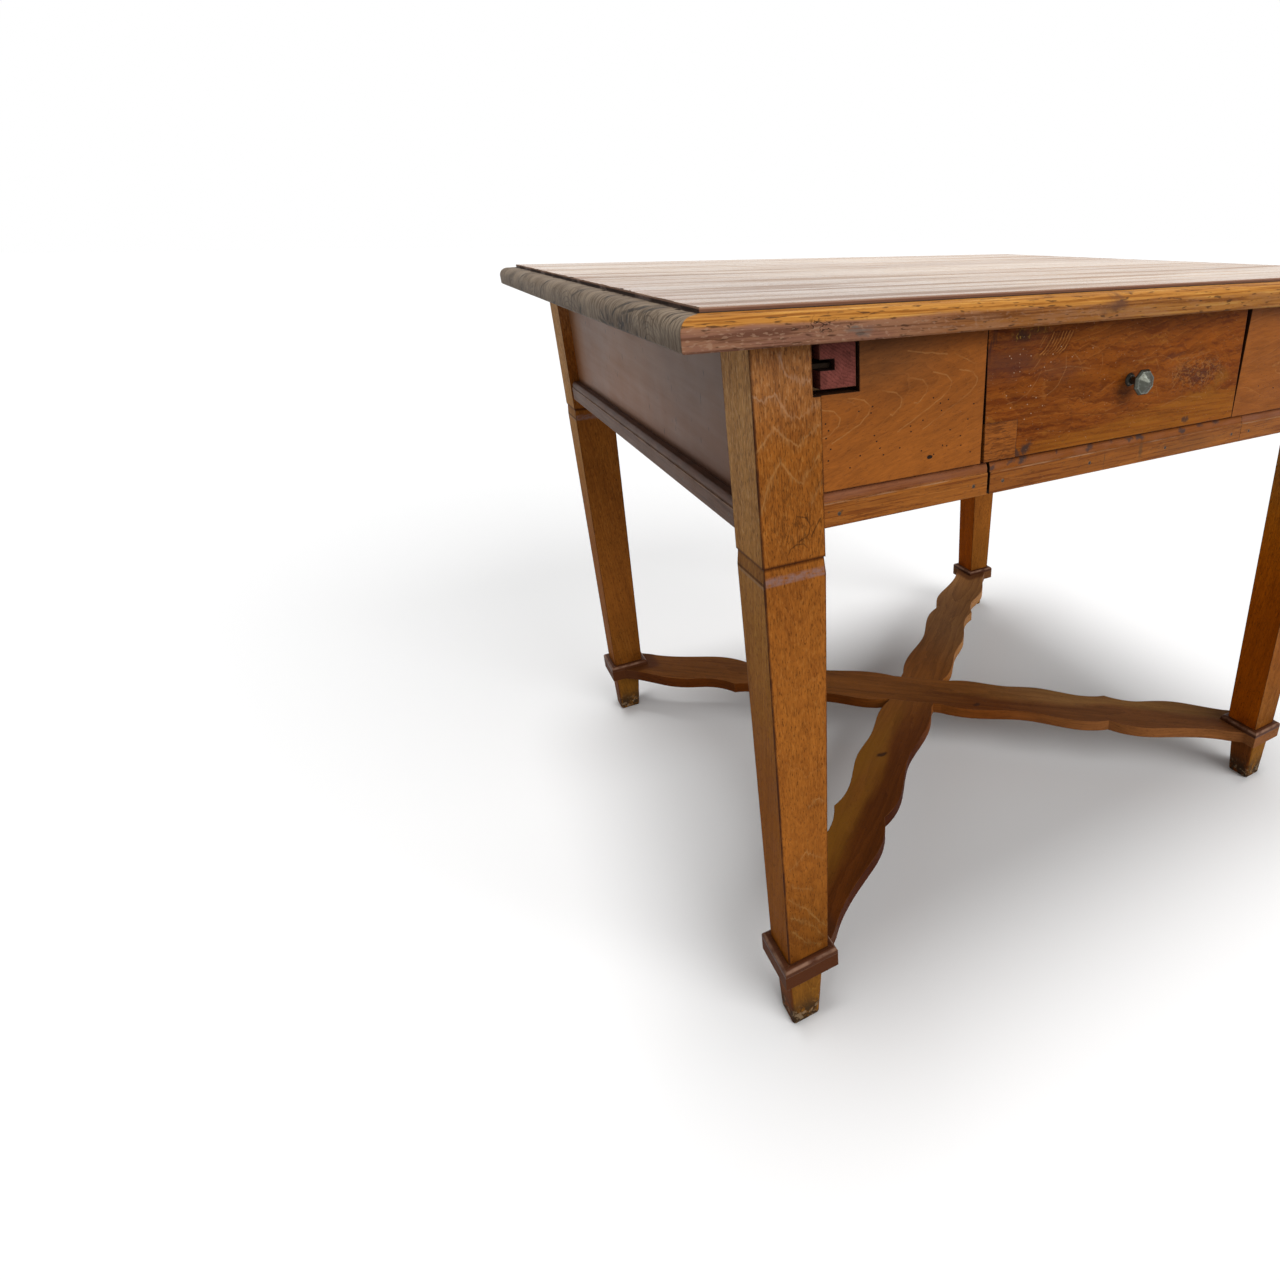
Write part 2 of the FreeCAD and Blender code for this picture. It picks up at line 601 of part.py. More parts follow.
def make_frame_boards():
    lengths = {
        "front_moulding_left": (-LEG_INNER_X, MOULDING_JOINT_LEFT - MOULDING_GAP_LEFT / 2),
        "front_moulding_middle": (
            MOULDING_JOINT_LEFT + MOULDING_GAP_LEFT / 2,
            MOULDING_JOINT_RIGHT - MOULDING_GAP_RIGHT / 2,
        ),
        "front_moulding_right": (MOULDING_JOINT_RIGHT + MOULDING_GAP_RIGHT / 2, LEG_INNER_X),
    }
    nail_z = RAIL_BOTTOM + FASCIA_HEIGHT / 2
    face_y = -LEG_OUTER_Y + MOULDING_RECESS
    places = []
    for start, end in lengths.values():
        places += [(point(x, face_y, nail_z), ALONG_Y) for x in moulding_nail_row(start, end)]
    back_row = moulding_nail_row(-LEG_INNER_X, LEG_INNER_X)
    back_places = [(point(x, -face_y, nail_z), -ALONG_Y) for x in back_row]
    end_z = END_MOULDING_BOTTOM + END_FASCIA_HEIGHT / 2
    end_face_x = LEG_OUTER_X - END_MOULDING_RECESS
    end_row = moulding_nail_row(-LEG_INNER_Y, LEG_INNER_Y)
    left_places = [(point(-end_face_x, y, end_z), ALONG_X) for y in end_row]
    right_places = [(point(end_face_x, y, end_z), -ALONG_X) for y in end_row]
    front_nails, front_holes = nails_and_holes(places, MOULDING_NAIL_LENGTH)
    back_nails, back_holes = nails_and_holes(back_places, MOULDING_NAIL_LENGTH)
    left_nails, left_holes = nails_and_holes(left_places, MOULDING_NAIL_LENGTH)
    right_nails, right_holes = nails_and_holes(right_places, MOULDING_NAIL_LENGTH)
    for name, (start, end) in lengths.items():
        nodes[name] = front_moulding(start, end).cut(front_holes)
    nodes["front_rail"] = front_rail().cut(front_holes)
    nodes["front_panel_left"] = front_panel(OPENING_LEFT)
    nodes["front_panel_right"] = across_x(front_panel(-OPENING_RIGHT))
    nodes["back_rail"] = across_y(front_rail()).cut(back_holes)
    nodes["back_panel"] = back_panel()
    nodes["back_moulding"] = across_y(front_moulding(-LEG_INNER_X, LEG_INNER_X)).cut(back_holes)
    nodes["end_panel_left"] = end_panel().cut(left_holes)
    nodes["end_panel_right"] = across_x(end_panel()).cut(right_holes)
    nodes["end_moulding_left"] = end_moulding().cut(left_holes)
    nodes["end_moulding_right"] = across_x(end_moulding()).cut(right_holes)
    nodes["moulding_nails"] = group(front_nails + back_nails + left_nails + right_nails)


# Drawer runners, drawer guides and the tongues for the sliding top
def runner(guide_face, side):
    """The strip a drawer side runs on. The guide stands on its outer part."""
    outer = guide_face + side * GUIDE_THICKNESS
    inner = guide_face - side * RUNNER_LEDGE
    x0, x1 = sorted((outer, inner))
    return block(x0, x1, -RAIL_BACK_Y, RAIL_BACK_Y, RAIL_TOP - RUNNER_HEIGHT, RAIL_TOP)


def guide(guide_face, side):
    """The strip beside a drawer side, on top of the runner."""
    x0, x1 = sorted((guide_face, guide_face + side * GUIDE_THICKNESS))
    return block(x0, x1, -PANEL_BACK_Y, PANEL_BACK_Y, RAIL_TOP, RAIL_TOP + GUIDE_HEIGHT)


def make_runners():
    faces = {
        "left": (DRAWER_LEFT_X - DRAWER_SIDE_PLAY, -1),
        "right": (DRAWER_RIGHT_X + DRAWER_SIDE_PLAY, 1),
    }
    places = []
    for guide_face, side in faces.values():
        x = guide_face + side * GUIDE_THICKNESS / 2
        for y in nail_row(-RAIL_BACK_Y, RAIL_BACK_Y, RUNNER_NAIL_MARGIN, RUNNER_NAIL_PITCH):
            places.append((point(x, y, RAIL_TOP + GUIDE_HEIGHT), -UP))
    nails, holes = nails_and_holes(places, RUNNER_NAIL_LENGTH)
    for name, (guide_face, side) in faces.items():
        nodes[f"drawer_runner_{name}"] = runner(guide_face, side).cut(holes)
        nodes[f"drawer_guide_{name}"] = guide(guide_face, side).cut(holes)
    nodes["guide_nails"] = group(nails)


def top_tongue():
    """The left guide: a block inside the end board, and a tongue that reaches forward into the notch."""
    x0 = -END_PANEL_BACK_X
    block_end = -BATTEN_OUTER_X - GUIDE_BLOCK_GAP
    tongue_end = -SLOT_INNER_X - SLIDE_CLEARANCE
    middle = SLOT_BOTTOM + SLOT_HEIGHT / 2
    half_block = GUIDE_BLOCK_HEIGHT / 2
    body = block(x0, block_end, -LEG_INNER_Y, LEG_INNER_Y, middle - half_block, middle + half_block)
    low = SLOT_BOTTOM + SLIDE_CLEARANCE
    high = low + TONGUE_THICKNESS
    tongue = block(x0, tongue_end, -LEG_INNER_Y, LEG_INNER_Y, low, high)
    tip_start = -LEG_INNER_X - NOTCH_IN_LEG + TONGUE_LEG_GAP
    tip = block(tip_start, tongue_end, -LEG_OUTER_Y + TONGUE_FRONT_RECESS, -LEG_INNER_Y, low, high)
    return joined(body, tongue, tip)


def make_top_tongues():
    strip = top_tongue()
    nodes["top_tongue_left"] = strip
    nodes["top_tongue_right"] = across_x(strip)


# Sliding top
def edge_profile(half_span):
    """Section of the top across its whole span: underside, thumb edge, band, step and raised field."""
    z0, z1 = TOP_UNDERSIDE, TABLE_HEIGHT
    band_outer = z1 - FIELD_STEP - BAND_FALL
    band_inner = z1 - FIELD_STEP
    shoulder = band_outer - EDGE_ROUND
    turn = EDGE_ROUND * (1 - math.sqrt(0.5))
    round_mid = (half_span - turn, band_outer - turn)
    right = [
        (half_span - UNDER_CHAMFER, z0),
        (half_span, z0 + UNDER_CHAMFER),
        (half_span, shoulder),
    ]
    after = [
        (half_span - EDGE_ROUND, band_outer),
        (half_span - FIELD_INSET, band_inner),
        (half_span - FIELD_INSET, z1),
    ]

    def lift(pair, side):
        return point(0, side * pair[0], pair[1])

    edges = []
    for side in (1, -1):
        for run in (right, after):
            edges += [Part.makeLine(lift(a, side), lift(b, side)) for a, b in zip(run, run[1:])]
        arc = Part.Arc(lift(right[-1], side), lift(round_mid, side), lift(after[0], side))
        edges.append(arc.toShape())
    edges.append(Part.makeLine(lift(right[0], 1), lift(right[0], -1)))
    edges.append(Part.makeLine(lift(after[-1], 1), lift(after[-1], -1)))
    return Part.Face(Part.Wire(Part.__sortEdges__(edges)))


def moulded_slab():
    along = edge_profile(TOP_DEPTH / 2).extrude(ALONG_X * (TOP_WIDTH + 2 * PAST))
    along.translate(point(-TOP_WIDTH / 2 - PAST, 0, 0))
    across = edge_profile(TOP_WIDTH / 2).extrude(ALONG_X * (TOP_DEPTH + 2 * PAST))
    across.translate(point(-TOP_DEPTH / 2 - PAST, 0, 0))
    across.rotate(ORIGIN, UP, QUARTER_TURN)
    return along.common(across)


def batten_left():
    x0, x1 = -BATTEN_OUTER_X, -BATTEN_INNER_X
    bar = block(x0, x1, BATTEN_FRONT_Y, BATTEN_BACK_Y, BATTEN_BOTTOM, TOP_UNDERSIDE)
    slot_top = SLOT_BOTTOM + SLOT_HEIGHT
    slot = block(
        x0 - PAST, -SLOT_INNER_X, BATTEN_FRONT_Y - PAST, BATTEN_BACK_Y + PAST, SLOT_BOTTOM, slot_top
    )
    return bar.cut(slot)


def batten_screw(x, y, margin=0.0):
    """A screw driven up through a batten from a hole in its underside."""
    head_z = BATTEN_BOTTOM + SCREW_HEAD_DEPTH
    length = TOP_UNDERSIDE + SCREW_IN_BOARD - head_z
    return fastener(
        SCREW_RADIUS, length, SCREW_HEAD_RADIUS, SCREW_HEAD_THICKNESS, point(x, y, head_z), UP, margin
    )


def make_top():
    slab = moulded_slab()
    joints = [-TOP_DEPTH / 2, *GLUE_JOINTS, TOP_DEPTH / 2]
    screw_x = SLOT_INNER_X - (SLOT_INNER_X - BATTEN_INNER_X) / 2
    screws = []
    holes = []
    for y0, y1 in zip(joints, joints[1:]):
        y = (max(y0, BATTEN_FRONT_Y) + min(y1, BATTEN_BACK_Y)) / 2
        for x in (-screw_x, screw_x):
            screws.append(batten_screw(x, y))
            mouth_radius = SCREW_HEAD_RADIUS + FASTENER_CLEARANCE
            mouth_height = SCREW_HEAD_DEPTH + PAST
            mouth = Part.makeCylinder(mouth_radius, mouth_height, point(x, y, BATTEN_BOTTOM - PAST), UP)
            holes += [batten_screw(x, y, FASTENER_CLEARANCE), mouth]
    reach = TOP_WIDTH
    for number, (y0, y1) in enumerate(zip(joints, joints[1:]), 1):
        strip = block(-reach, reach, y0, y1, TOP_UNDERSIDE - PAST, TABLE_HEIGHT + PAST)
        nodes[f"top_board_{number}"] = slab.common(strip).cut(holes)
    left = batten_left()
    nodes["top_batten_left"] = left.cut(holes)
    nodes["top_batten_right"] = across_x(left).cut(holes)
    nodes["batten_screws"] = group(screws)


# Drawer
def drawer_front_blank():
    """The drawer's face, a board whose two ends lean."""
    corners = [
        (OPENING_LEFT + LEFT_GAP_BOTTOM, DRAWER_BOTTOM),
        (OPENING_RIGHT - RIGHT_GAP_BOTTOM, DRAWER_BOTTOM),
        (OPENING_RIGHT - RIGHT_GAP_TOP, DRAWER_TOP),
        (OPENING_LEFT + LEFT_GAP_TOP, DRAWER_TOP),
    ]
    wire = Part.makePolygon([point(x, DRAWER_FACE_Y, z) for x, z in corners + corners[:1]])
    return Part.Face(wire).extrude(ALONG_Y * DRAWER_FRONT_THICKNESS)


def dovetail(x0, x1, z_middle, margin=0.0):
    """A tail on a drawer side's front end, wider at its tip."""
    root = DOVETAIL_ROOT / 2 + margin
    tip = root + DOVETAIL_FLARE
    y_root = DRAWER_BOX_Y + margin
    y_tip = DRAWER_BOX_Y - DOVETAIL_LENGTH - margin
    corners = [(y_root, z_middle - root), (y_root, z_middle + root)]
    corners += [(y_tip, z_middle + tip), (y_tip, z_middle - tip)]
    wire = Part.makePolygon([point(x0 - margin, y, z) for y, z in corners + corners[:1]])
    return Part.Face(wire).extrude(ALONG_X * (x1 - x0 + 2 * margin))


def dovetails(x0, x1, margin=0.0):
    pitch = (DRAWER_SIDE_TOP - DRAWER_BOTTOM) / DOVETAIL_COUNT
    heights = [DRAWER_BOTTOM + pitch * (index + 0.5) for index in range(DOVETAIL_COUNT)]
    return [dovetail(x0, x1, z, margin) for z in heights]


def make_drawer():
    left = (DRAWER_LEFT_X, DRAWER_LEFT_X + DRAWER_SIDE_THICKNESS)
    right = (DRAWER_RIGHT_X - DRAWER_SIDE_THICKNESS, DRAWER_RIGHT_X)
    floor_x0, floor_x1 = left[1] - BOTTOM_GROOVE, right[0] + BOTTOM_GROOVE
    floor_y0 = DRAWER_BOX_Y - BOTTOM_GROOVE
    floor_limits = (floor_x0, floor_x1, floor_y0, DRAWER_END_Y, FLOOR_BOARD_BOTTOM, FLOOR_BOARD_TOP)
    floor_board = block(*floor_limits)
    floor_groove = grown_block(floor_limits, JOINT_CLEARANCE)

    back_y1 = DRAWER_BACK_Y + DRAWER_BACK_THICKNESS
    back_top = DRAWER_SIDE_TOP - DRAWER_BACK_DROP
    back_bottom = FLOOR_BOARD_TOP
    back = block(left[1], right[0], DRAWER_BACK_Y, back_y1, back_bottom, back_top)

    back_middle = DRAWER_BACK_Y + DRAWER_BACK_THICKNESS / 2
    places = []
    for z in (back_bottom + DRAWER_NAIL_MARGIN, back_top - DRAWER_NAIL_MARGIN):
        places.append((point(left[0], back_middle, z), ALONG_X))
        places.append((point(right[1], back_middle, z), -ALONG_X))
    for x in nail_row(left[1], right[0], FLOOR_NAIL_MARGIN, FLOOR_NAIL_PITCH):
        places.append((point(x, back_middle, FLOOR_BOARD_BOTTOM), UP))
    nails, holes = nails_and_holes(places, DRAWER_NAIL_LENGTH)

    patch_right = OPENING_LEFT + LEFT_GAP_BOTTOM + PATCH_WIDTH
    patch_room = block(
        OPENING_LEFT,
        patch_right,
        DRAWER_FACE_Y,
        DRAWER_FACE_Y + PATCH_THICKNESS,
        DRAWER_BOTTOM,
        DRAWER_BOTTOM + PATCH_HEIGHT,
    )
    blank = drawer_front_blank()
    sockets = dovetails(*left, JOINT_CLEARANCE) + dovetails(*right, JOINT_CLEARANCE)
    stud_start = point(KNOB_X, DRAWER_FACE_Y - PAST, KNOB_HEIGHT)
    stud_hole = Part.makeCylinder(
        STUD_RADIUS + FASTENER_CLEARANCE, DRAWER_FRONT_THICKNESS + 2 * PAST, stud_start, ALONG_Y
    )
    nodes["drawer_front"] = blank.cut([patch_room, floor_groove, stud_hole] + sockets)
    nodes["drawer_patch"] = blank.common(patch_room)

    for name, (x0, x1) in (("drawer_side_left", left), ("drawer_side_right", right)):
        side = block(x0, x1, DRAWER_BOX_Y, DRAWER_END_Y, DRAWER_BOTTOM, DRAWER_SIDE_TOP)
        nodes[name] = joined(side, *dovetails(x0, x1)).cut([floor_groove] + holes)
    nodes["drawer_back"] = back.cut(holes)
    nodes["drawer_bottom"] = floor_board.cut(holes)
    nodes["drawer_nails"] = group(nails)


# Knob
def octagon(radius, height):
    """A flat-topped outline about the knob's axis."""
    corners = []
    for index in range(KNOB_SIDES + 1):
        angle = 2 * math.pi * (index + 0.5) / KNOB_SIDES
        corners.append(point(radius * math.cos(angle), radius * math.sin(angle), height))
    return Part.makePolygon(corners)


def on_drawer_face(shape):
    """Turns a piece made along +Z so that it stands out of the drawer's face at the knob's place."""
    placed = shape.copy()
    placed.rotate(ORIGIN, ALONG_X, QUARTER_TURN)
    placed.translate(point(KNOB_X, DRAWER_FACE_Y, KNOB_HEIGHT))
    return placed


def make_knob():
    stations = [
        (KNOB_BACK_RADIUS, KNOB_BACK),
        (KNOB_RADIUS, KNOB_RIM_BACK),
        (KNOB_RADIUS, KNOB_RIM_FRONT),
        (KNOB_BEVEL_RADIUS, KNOB_BEVEL_FRONT),
        (KNOB_GROOVE_RADIUS, KNOB_BEVEL_FRONT - KNOB_GROOVE_DEPTH),
        (KNOB_POINT_RADIUS, KNOB_FACE),
    ]
    head = Part.makeLoft([octagon(radius, height) for radius, height in stations], True, True)
    stem = Part.makeCylinder(STEM_RADIUS, KNOB_BACK - ROSE_THICKNESS, point(0, 0, ROSE_THICKNESS), UP)
    stud_end = DRAWER_FRONT_THICKNESS + NUT_THICKNESS + STUD_PAST_NUT
    stud = Part.makeCylinder(STUD_RADIUS, stud_end + ROSE_THICKNESS, point(0, 0, -stud_end), UP)
    nodes["knob"] = on_drawer_face(joined(head, stem, stud))

    hole_radius = STUD_RADIUS + FASTENER_CLEARANCE
    rose = Part.makeCone(ROSE_RADIUS, ROSE_CROWN_RADIUS, ROSE_THICKNESS)
    rose_hole = Part.makeCylinder(hole_radius, ROSE_THICKNESS + 2 * PAST, point(0, 0, -PAST), UP)
    nodes["knob_rose"] = on_drawer_face(rose.cut(rose_hole))

    half = NUT_SIDE / 2
    nut_z = -DRAWER_FRONT_THICKNESS - NUT_THICKNESS
    nut = block(-half, half, -half, half, nut_z, -DRAWER_FRONT_THICKNESS)
    nut_hole = Part.makeCylinder(hole_radius, NUT_THICKNESS + 2 * PAST, point(0, 0, nut_z - PAST), UP)
    nodes["knob_nut"] = on_drawer_face(nut.cut(nut_hole))


make_legs()
make_feet()
make_stretcher()
make_ankle_beads()
make_frame_boards()
make_runners()
make_top_tongues()
make_top()
make_drawer()
make_knob()

os.makedirs("parts", exist_ok=True)
for name, shape in nodes.items():
    shape.exportStep(f"parts/{name}.step")
    print(name, "solids", len(shape.Solids), "valid", shape.isValid(), "volume", round(shape.Volume))
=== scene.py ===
import math
import random
import bpy
from mathutils import Matrix, Vector


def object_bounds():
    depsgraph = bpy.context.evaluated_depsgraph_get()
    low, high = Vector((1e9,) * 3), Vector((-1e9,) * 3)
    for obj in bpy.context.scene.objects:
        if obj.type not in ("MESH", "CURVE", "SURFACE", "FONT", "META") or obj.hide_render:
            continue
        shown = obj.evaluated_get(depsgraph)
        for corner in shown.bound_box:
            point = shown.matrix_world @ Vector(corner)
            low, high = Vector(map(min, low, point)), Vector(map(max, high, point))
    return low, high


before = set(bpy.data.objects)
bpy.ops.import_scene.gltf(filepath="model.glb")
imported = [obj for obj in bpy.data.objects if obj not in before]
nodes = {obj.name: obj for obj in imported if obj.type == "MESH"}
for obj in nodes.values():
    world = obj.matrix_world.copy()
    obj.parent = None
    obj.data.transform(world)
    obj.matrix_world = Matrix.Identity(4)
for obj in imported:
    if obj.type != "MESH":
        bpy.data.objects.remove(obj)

cad_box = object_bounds()
scene = bpy.context.scene

# Places on the table, in metres, that the materials follow
HALF_WIDTH, HALF_DEPTH, TOP_Z = cad_box[1]
FIELD_INSET = 0.0215
RIM_Z = TOP_Z - 0.0035
GLUE_JOINTS = (-0.199, -0.009, 0.215)
LEG_X = HALF_WIDTH - 0.0585
LEG_Y = HALF_DEPTH - 0.029
GROOVE_Z = 0.5515
NOTCH_X = 0.378
NOTCH_Z = 0.7025
BATTEN_X = 0.354
SLOT_X = 0.357
SLOT_Z = 0.721
SLOT_HEIGHT = 0.008
HEAD_X = 0.3738
HEAD_Y = 0.3298
RING_Z = 0.102
FRONT_BEAD_Z = 0.612
END_BEAD_Z = 0.601


class Net:
    """Builds shader nodes with short calls. An input can be a socket, a number or a tuple."""

    def __init__(self, tree):
        self.tree = tree

    def put(self, kind, values=None, **settings):
        node = self.tree.nodes.new(kind)
        for key, value in settings.items():
            setattr(node, key, value)
        for key, value in (values or {}).items():
            if isinstance(value, bpy.types.NodeSocket):
                self.tree.links.new(value, node.inputs[key])
            elif value is not None:
                node.inputs[key].default_value = value
        return node

    def math(self, operation, a, b=None, c=None):
        return self.put("ShaderNodeMath", {0: a, 1: b, 2: c}, operation=operation).outputs[0]

    def chain(self, operation, first, *others):
        for other in others:
            first = self.math(operation, first, other)
        return first

    def add(self, *values):
        return self.chain("ADD", *values)

    def times(self, *values):
        return self.chain("MULTIPLY", *values)

    def most(self, *values):
        return self.chain("MAXIMUM", *values)

    def least(self, *values):
        return self.chain("MINIMUM", *values)

    def inverse(self, a):
        return self.math("SUBTRACT", 1, a)

    def absolute(self, a):
        return self.math("ABSOLUTE", a)

    def linear(self, value, slope, start):
        return self.math("MULTIPLY_ADD", value, slope, start)

    def vector(self, operation, a, b=None):
        node = self.put("ShaderNodeVectorMath", {0: a, 1: b}, operation=operation)
        return node.outputs["Value" if operation in ("LENGTH", "DOT_PRODUCT") else "Vector"]

    def parts(self, vector):
        return self.put("ShaderNodeSeparateXYZ", {0: vector}).outputs

    def joined(self, x, y, z):
        return self.put("ShaderNodeCombineXYZ", {0: x, 1: y, 2: z}).outputs[0]

    def noise_node(self, place, scales, detail, roughness):
        scale = 1
        if isinstance(scales, tuple):
            place = self.vector("MULTIPLY", place, scales)
        else:
            scale = scales
        values = {"Vector": place, "Scale": scale, "Detail": detail, "Roughness": roughness}
        return self.put("ShaderNodeTexNoise", values)

    def noise(self, place, scales, detail=2, roughness=0.5):
        """Noise from 0 to 1; scales is one number or one for each axis."""
        return self.noise_node(place, scales, detail, roughness).outputs["Fac"]

    def swing(self, place, scales, reach, detail=2, roughness=0.5):
        """Noise that swings round zero, times a reach."""
        return self.times(self.add(self.noise(place, scales, detail, roughness), -0.5), reach)

    def wild(self, place, scales, detail=2, roughness=0.5):
        """Noise with three channels from 0 to 1, as a vector."""
        colour = self.noise_node(place, scales, detail, roughness).outputs["Color"]
        return self.joined(*self.put("ShaderNodeSeparateColor", {0: colour}).outputs[:3])

    def step(self, value, low, high):
        """Smooth step from 0 at low to 1 at high; low may be the larger."""
        values = {"Value": value, "From Min": low, "From Max": high}
        return self.put("ShaderNodeMapRange", values, interpolation_type="SMOOTHSTEP").outputs[0]

    def band(self, value, start, full, hold, end, base=0):
        """Mask that rises from start to full and falls from hold to end, all counted from a base."""
        rise = self.step(value, base + start, base + full)
        return self.times(rise, self.step(value, base + end, base + hold))

    def mix(self, factor, a, b, blend="MIX"):
        node = self.put("ShaderNodeMix", {0: factor, 6: a, 7: b}, data_type="RGBA", blend_type=blend)
        return node.outputs[2]

    def scaled(self, colour, amount):
        grey = self.put("ShaderNodeCombineColor", {0: amount, 1: amount, 2: amount}).outputs[0]
        return self.mix(1, colour, grey, "MULTIPLY")


def rgb(red, green, blue):
    return (red, green, blue, 1)


# Solid wood: growth rings round a pith line, fibres, pores and blotches
WOOD_INPUTS = {"Grain": "Vector", "Seed": "Float", "Ring": "Float", "Lines": "Float", "Late": "Float",
               "Swell": "Float", "Pores": "Float", "Base": "Color", "Dark": "Color", "Pale": "Color"}
WOOD_OUTPUTS = {"Color": "Color", "Height": "Float", "Streak": "Float", "Phase": "Float", "Bent": "Vector"}


def old_wood_group():
    group = bpy.data.node_groups.new("old_wood", "ShaderNodeTree")
    for direction, sockets in (("INPUT", WOOD_INPUTS), ("OUTPUT", WOOD_OUTPUTS)):
        for name, kind in sockets.items():
            group.interface.new_socket(name, in_out=direction, socket_type="NodeSocket" + kind)
    net = Net(group)
    given = net.put("NodeGroupInput").outputs
    place = given["Grain"]
    seed = given["Seed"]
    shift = net.joined(net.times(seed, 3.7), net.times(seed, 1.9), net.times(seed, 2.3))
    seeded = net.vector("ADD", place, shift)
    # Rings: the pith wanders along the board, and each ring is uneven
    sway = net.vector("SUBTRACT", net.wild(seeded, (2.2, 9, 9)), (0.5, 0.5, 0.5))
    bent = net.vector("ADD", place, net.vector("MULTIPLY", sway, (0, 0.022, 0.022)))
    radius = net.vector("LENGTH", net.vector("MULTIPLY", bent, (0, 1, 1)))
    ripple = net.swing(seeded, (9, 45, 45), 0.008, 3)
    ripple = net.add(ripple, net.swing(seeded, (60, 190, 190), 0.0016))
    count = net.math("DIVIDE", net.add(radius, ripple, given["Swell"]), given["Ring"])
    spread = net.joined(net.times(count, 0.41), seed, 0.5)
    count = net.add(count, net.noise(spread, 1, 1))
    phase = net.math("FRACT", count)
    ring_seed = net.add(net.math("FLOOR", count), seed)
    luck = net.put("ShaderNodeTexWhiteNoise", {"W": ring_seed}, noise_dimensions="1D").outputs["Value"]
    line = net.band(phase, 0, 0.035, 0.045, 0.12)
    breaks = net.step(net.noise(seeded, (30, 90, 90)), 0.3, 0.6)
    line = net.times(line, net.math("POWER", luck, 1.5), net.times(breaks, given["Lines"]))
    late = net.times(net.math("POWER", phase, 2.5), given["Late"])
    # Fibres, pores and blotches
    fibre = net.noise(seeded, (14, 520, 520), 3, 0.6)
    streak = net.noise(seeded, (4, 110, 110), 3, 0.55)
    pore = net.step(net.noise(seeded, (170, 820, 820), 1), 0.61, 0.69)
    pore = net.times(pore, given["Pores"])
    curl = net.noise(seeded, (45, 150, 150), 3, 0.6)
    blotch = net.step(net.noise(seeded, (3.5, 14, 14), 3, 0.55), 0.36, 0.7)
    shade = net.add(net.times(blotch, 0.42), net.times(late, 0.5))
    shade = net.linear(net.step(streak, 0.42, 0.72), 0.3, shade)
    colour = net.mix(shade, given["Base"], given["Dark"])
    tone = net.add(net.times(fibre, 0.6), net.times(curl, 0.36))
    colour = net.scaled(colour, net.add(0.52, tone))
    colour = net.mix(line, colour, given["Pale"])
    colour = net.mix(net.times(pore, 0.65), colour, net.scaled(given["Dark"], 0.3))
    height = net.linear(pore, -1.2, net.times(net.add(fibre, streak), 0.5))
    height = net.linear(line, 0.25, height)
    made = {"Color": colour, "Height": height, "Streak": streak, "Phase": phase, "Bent": bent}
    net.put("NodeGroupOutput", made)
    return group


OLD_WOOD = old_wood_group()


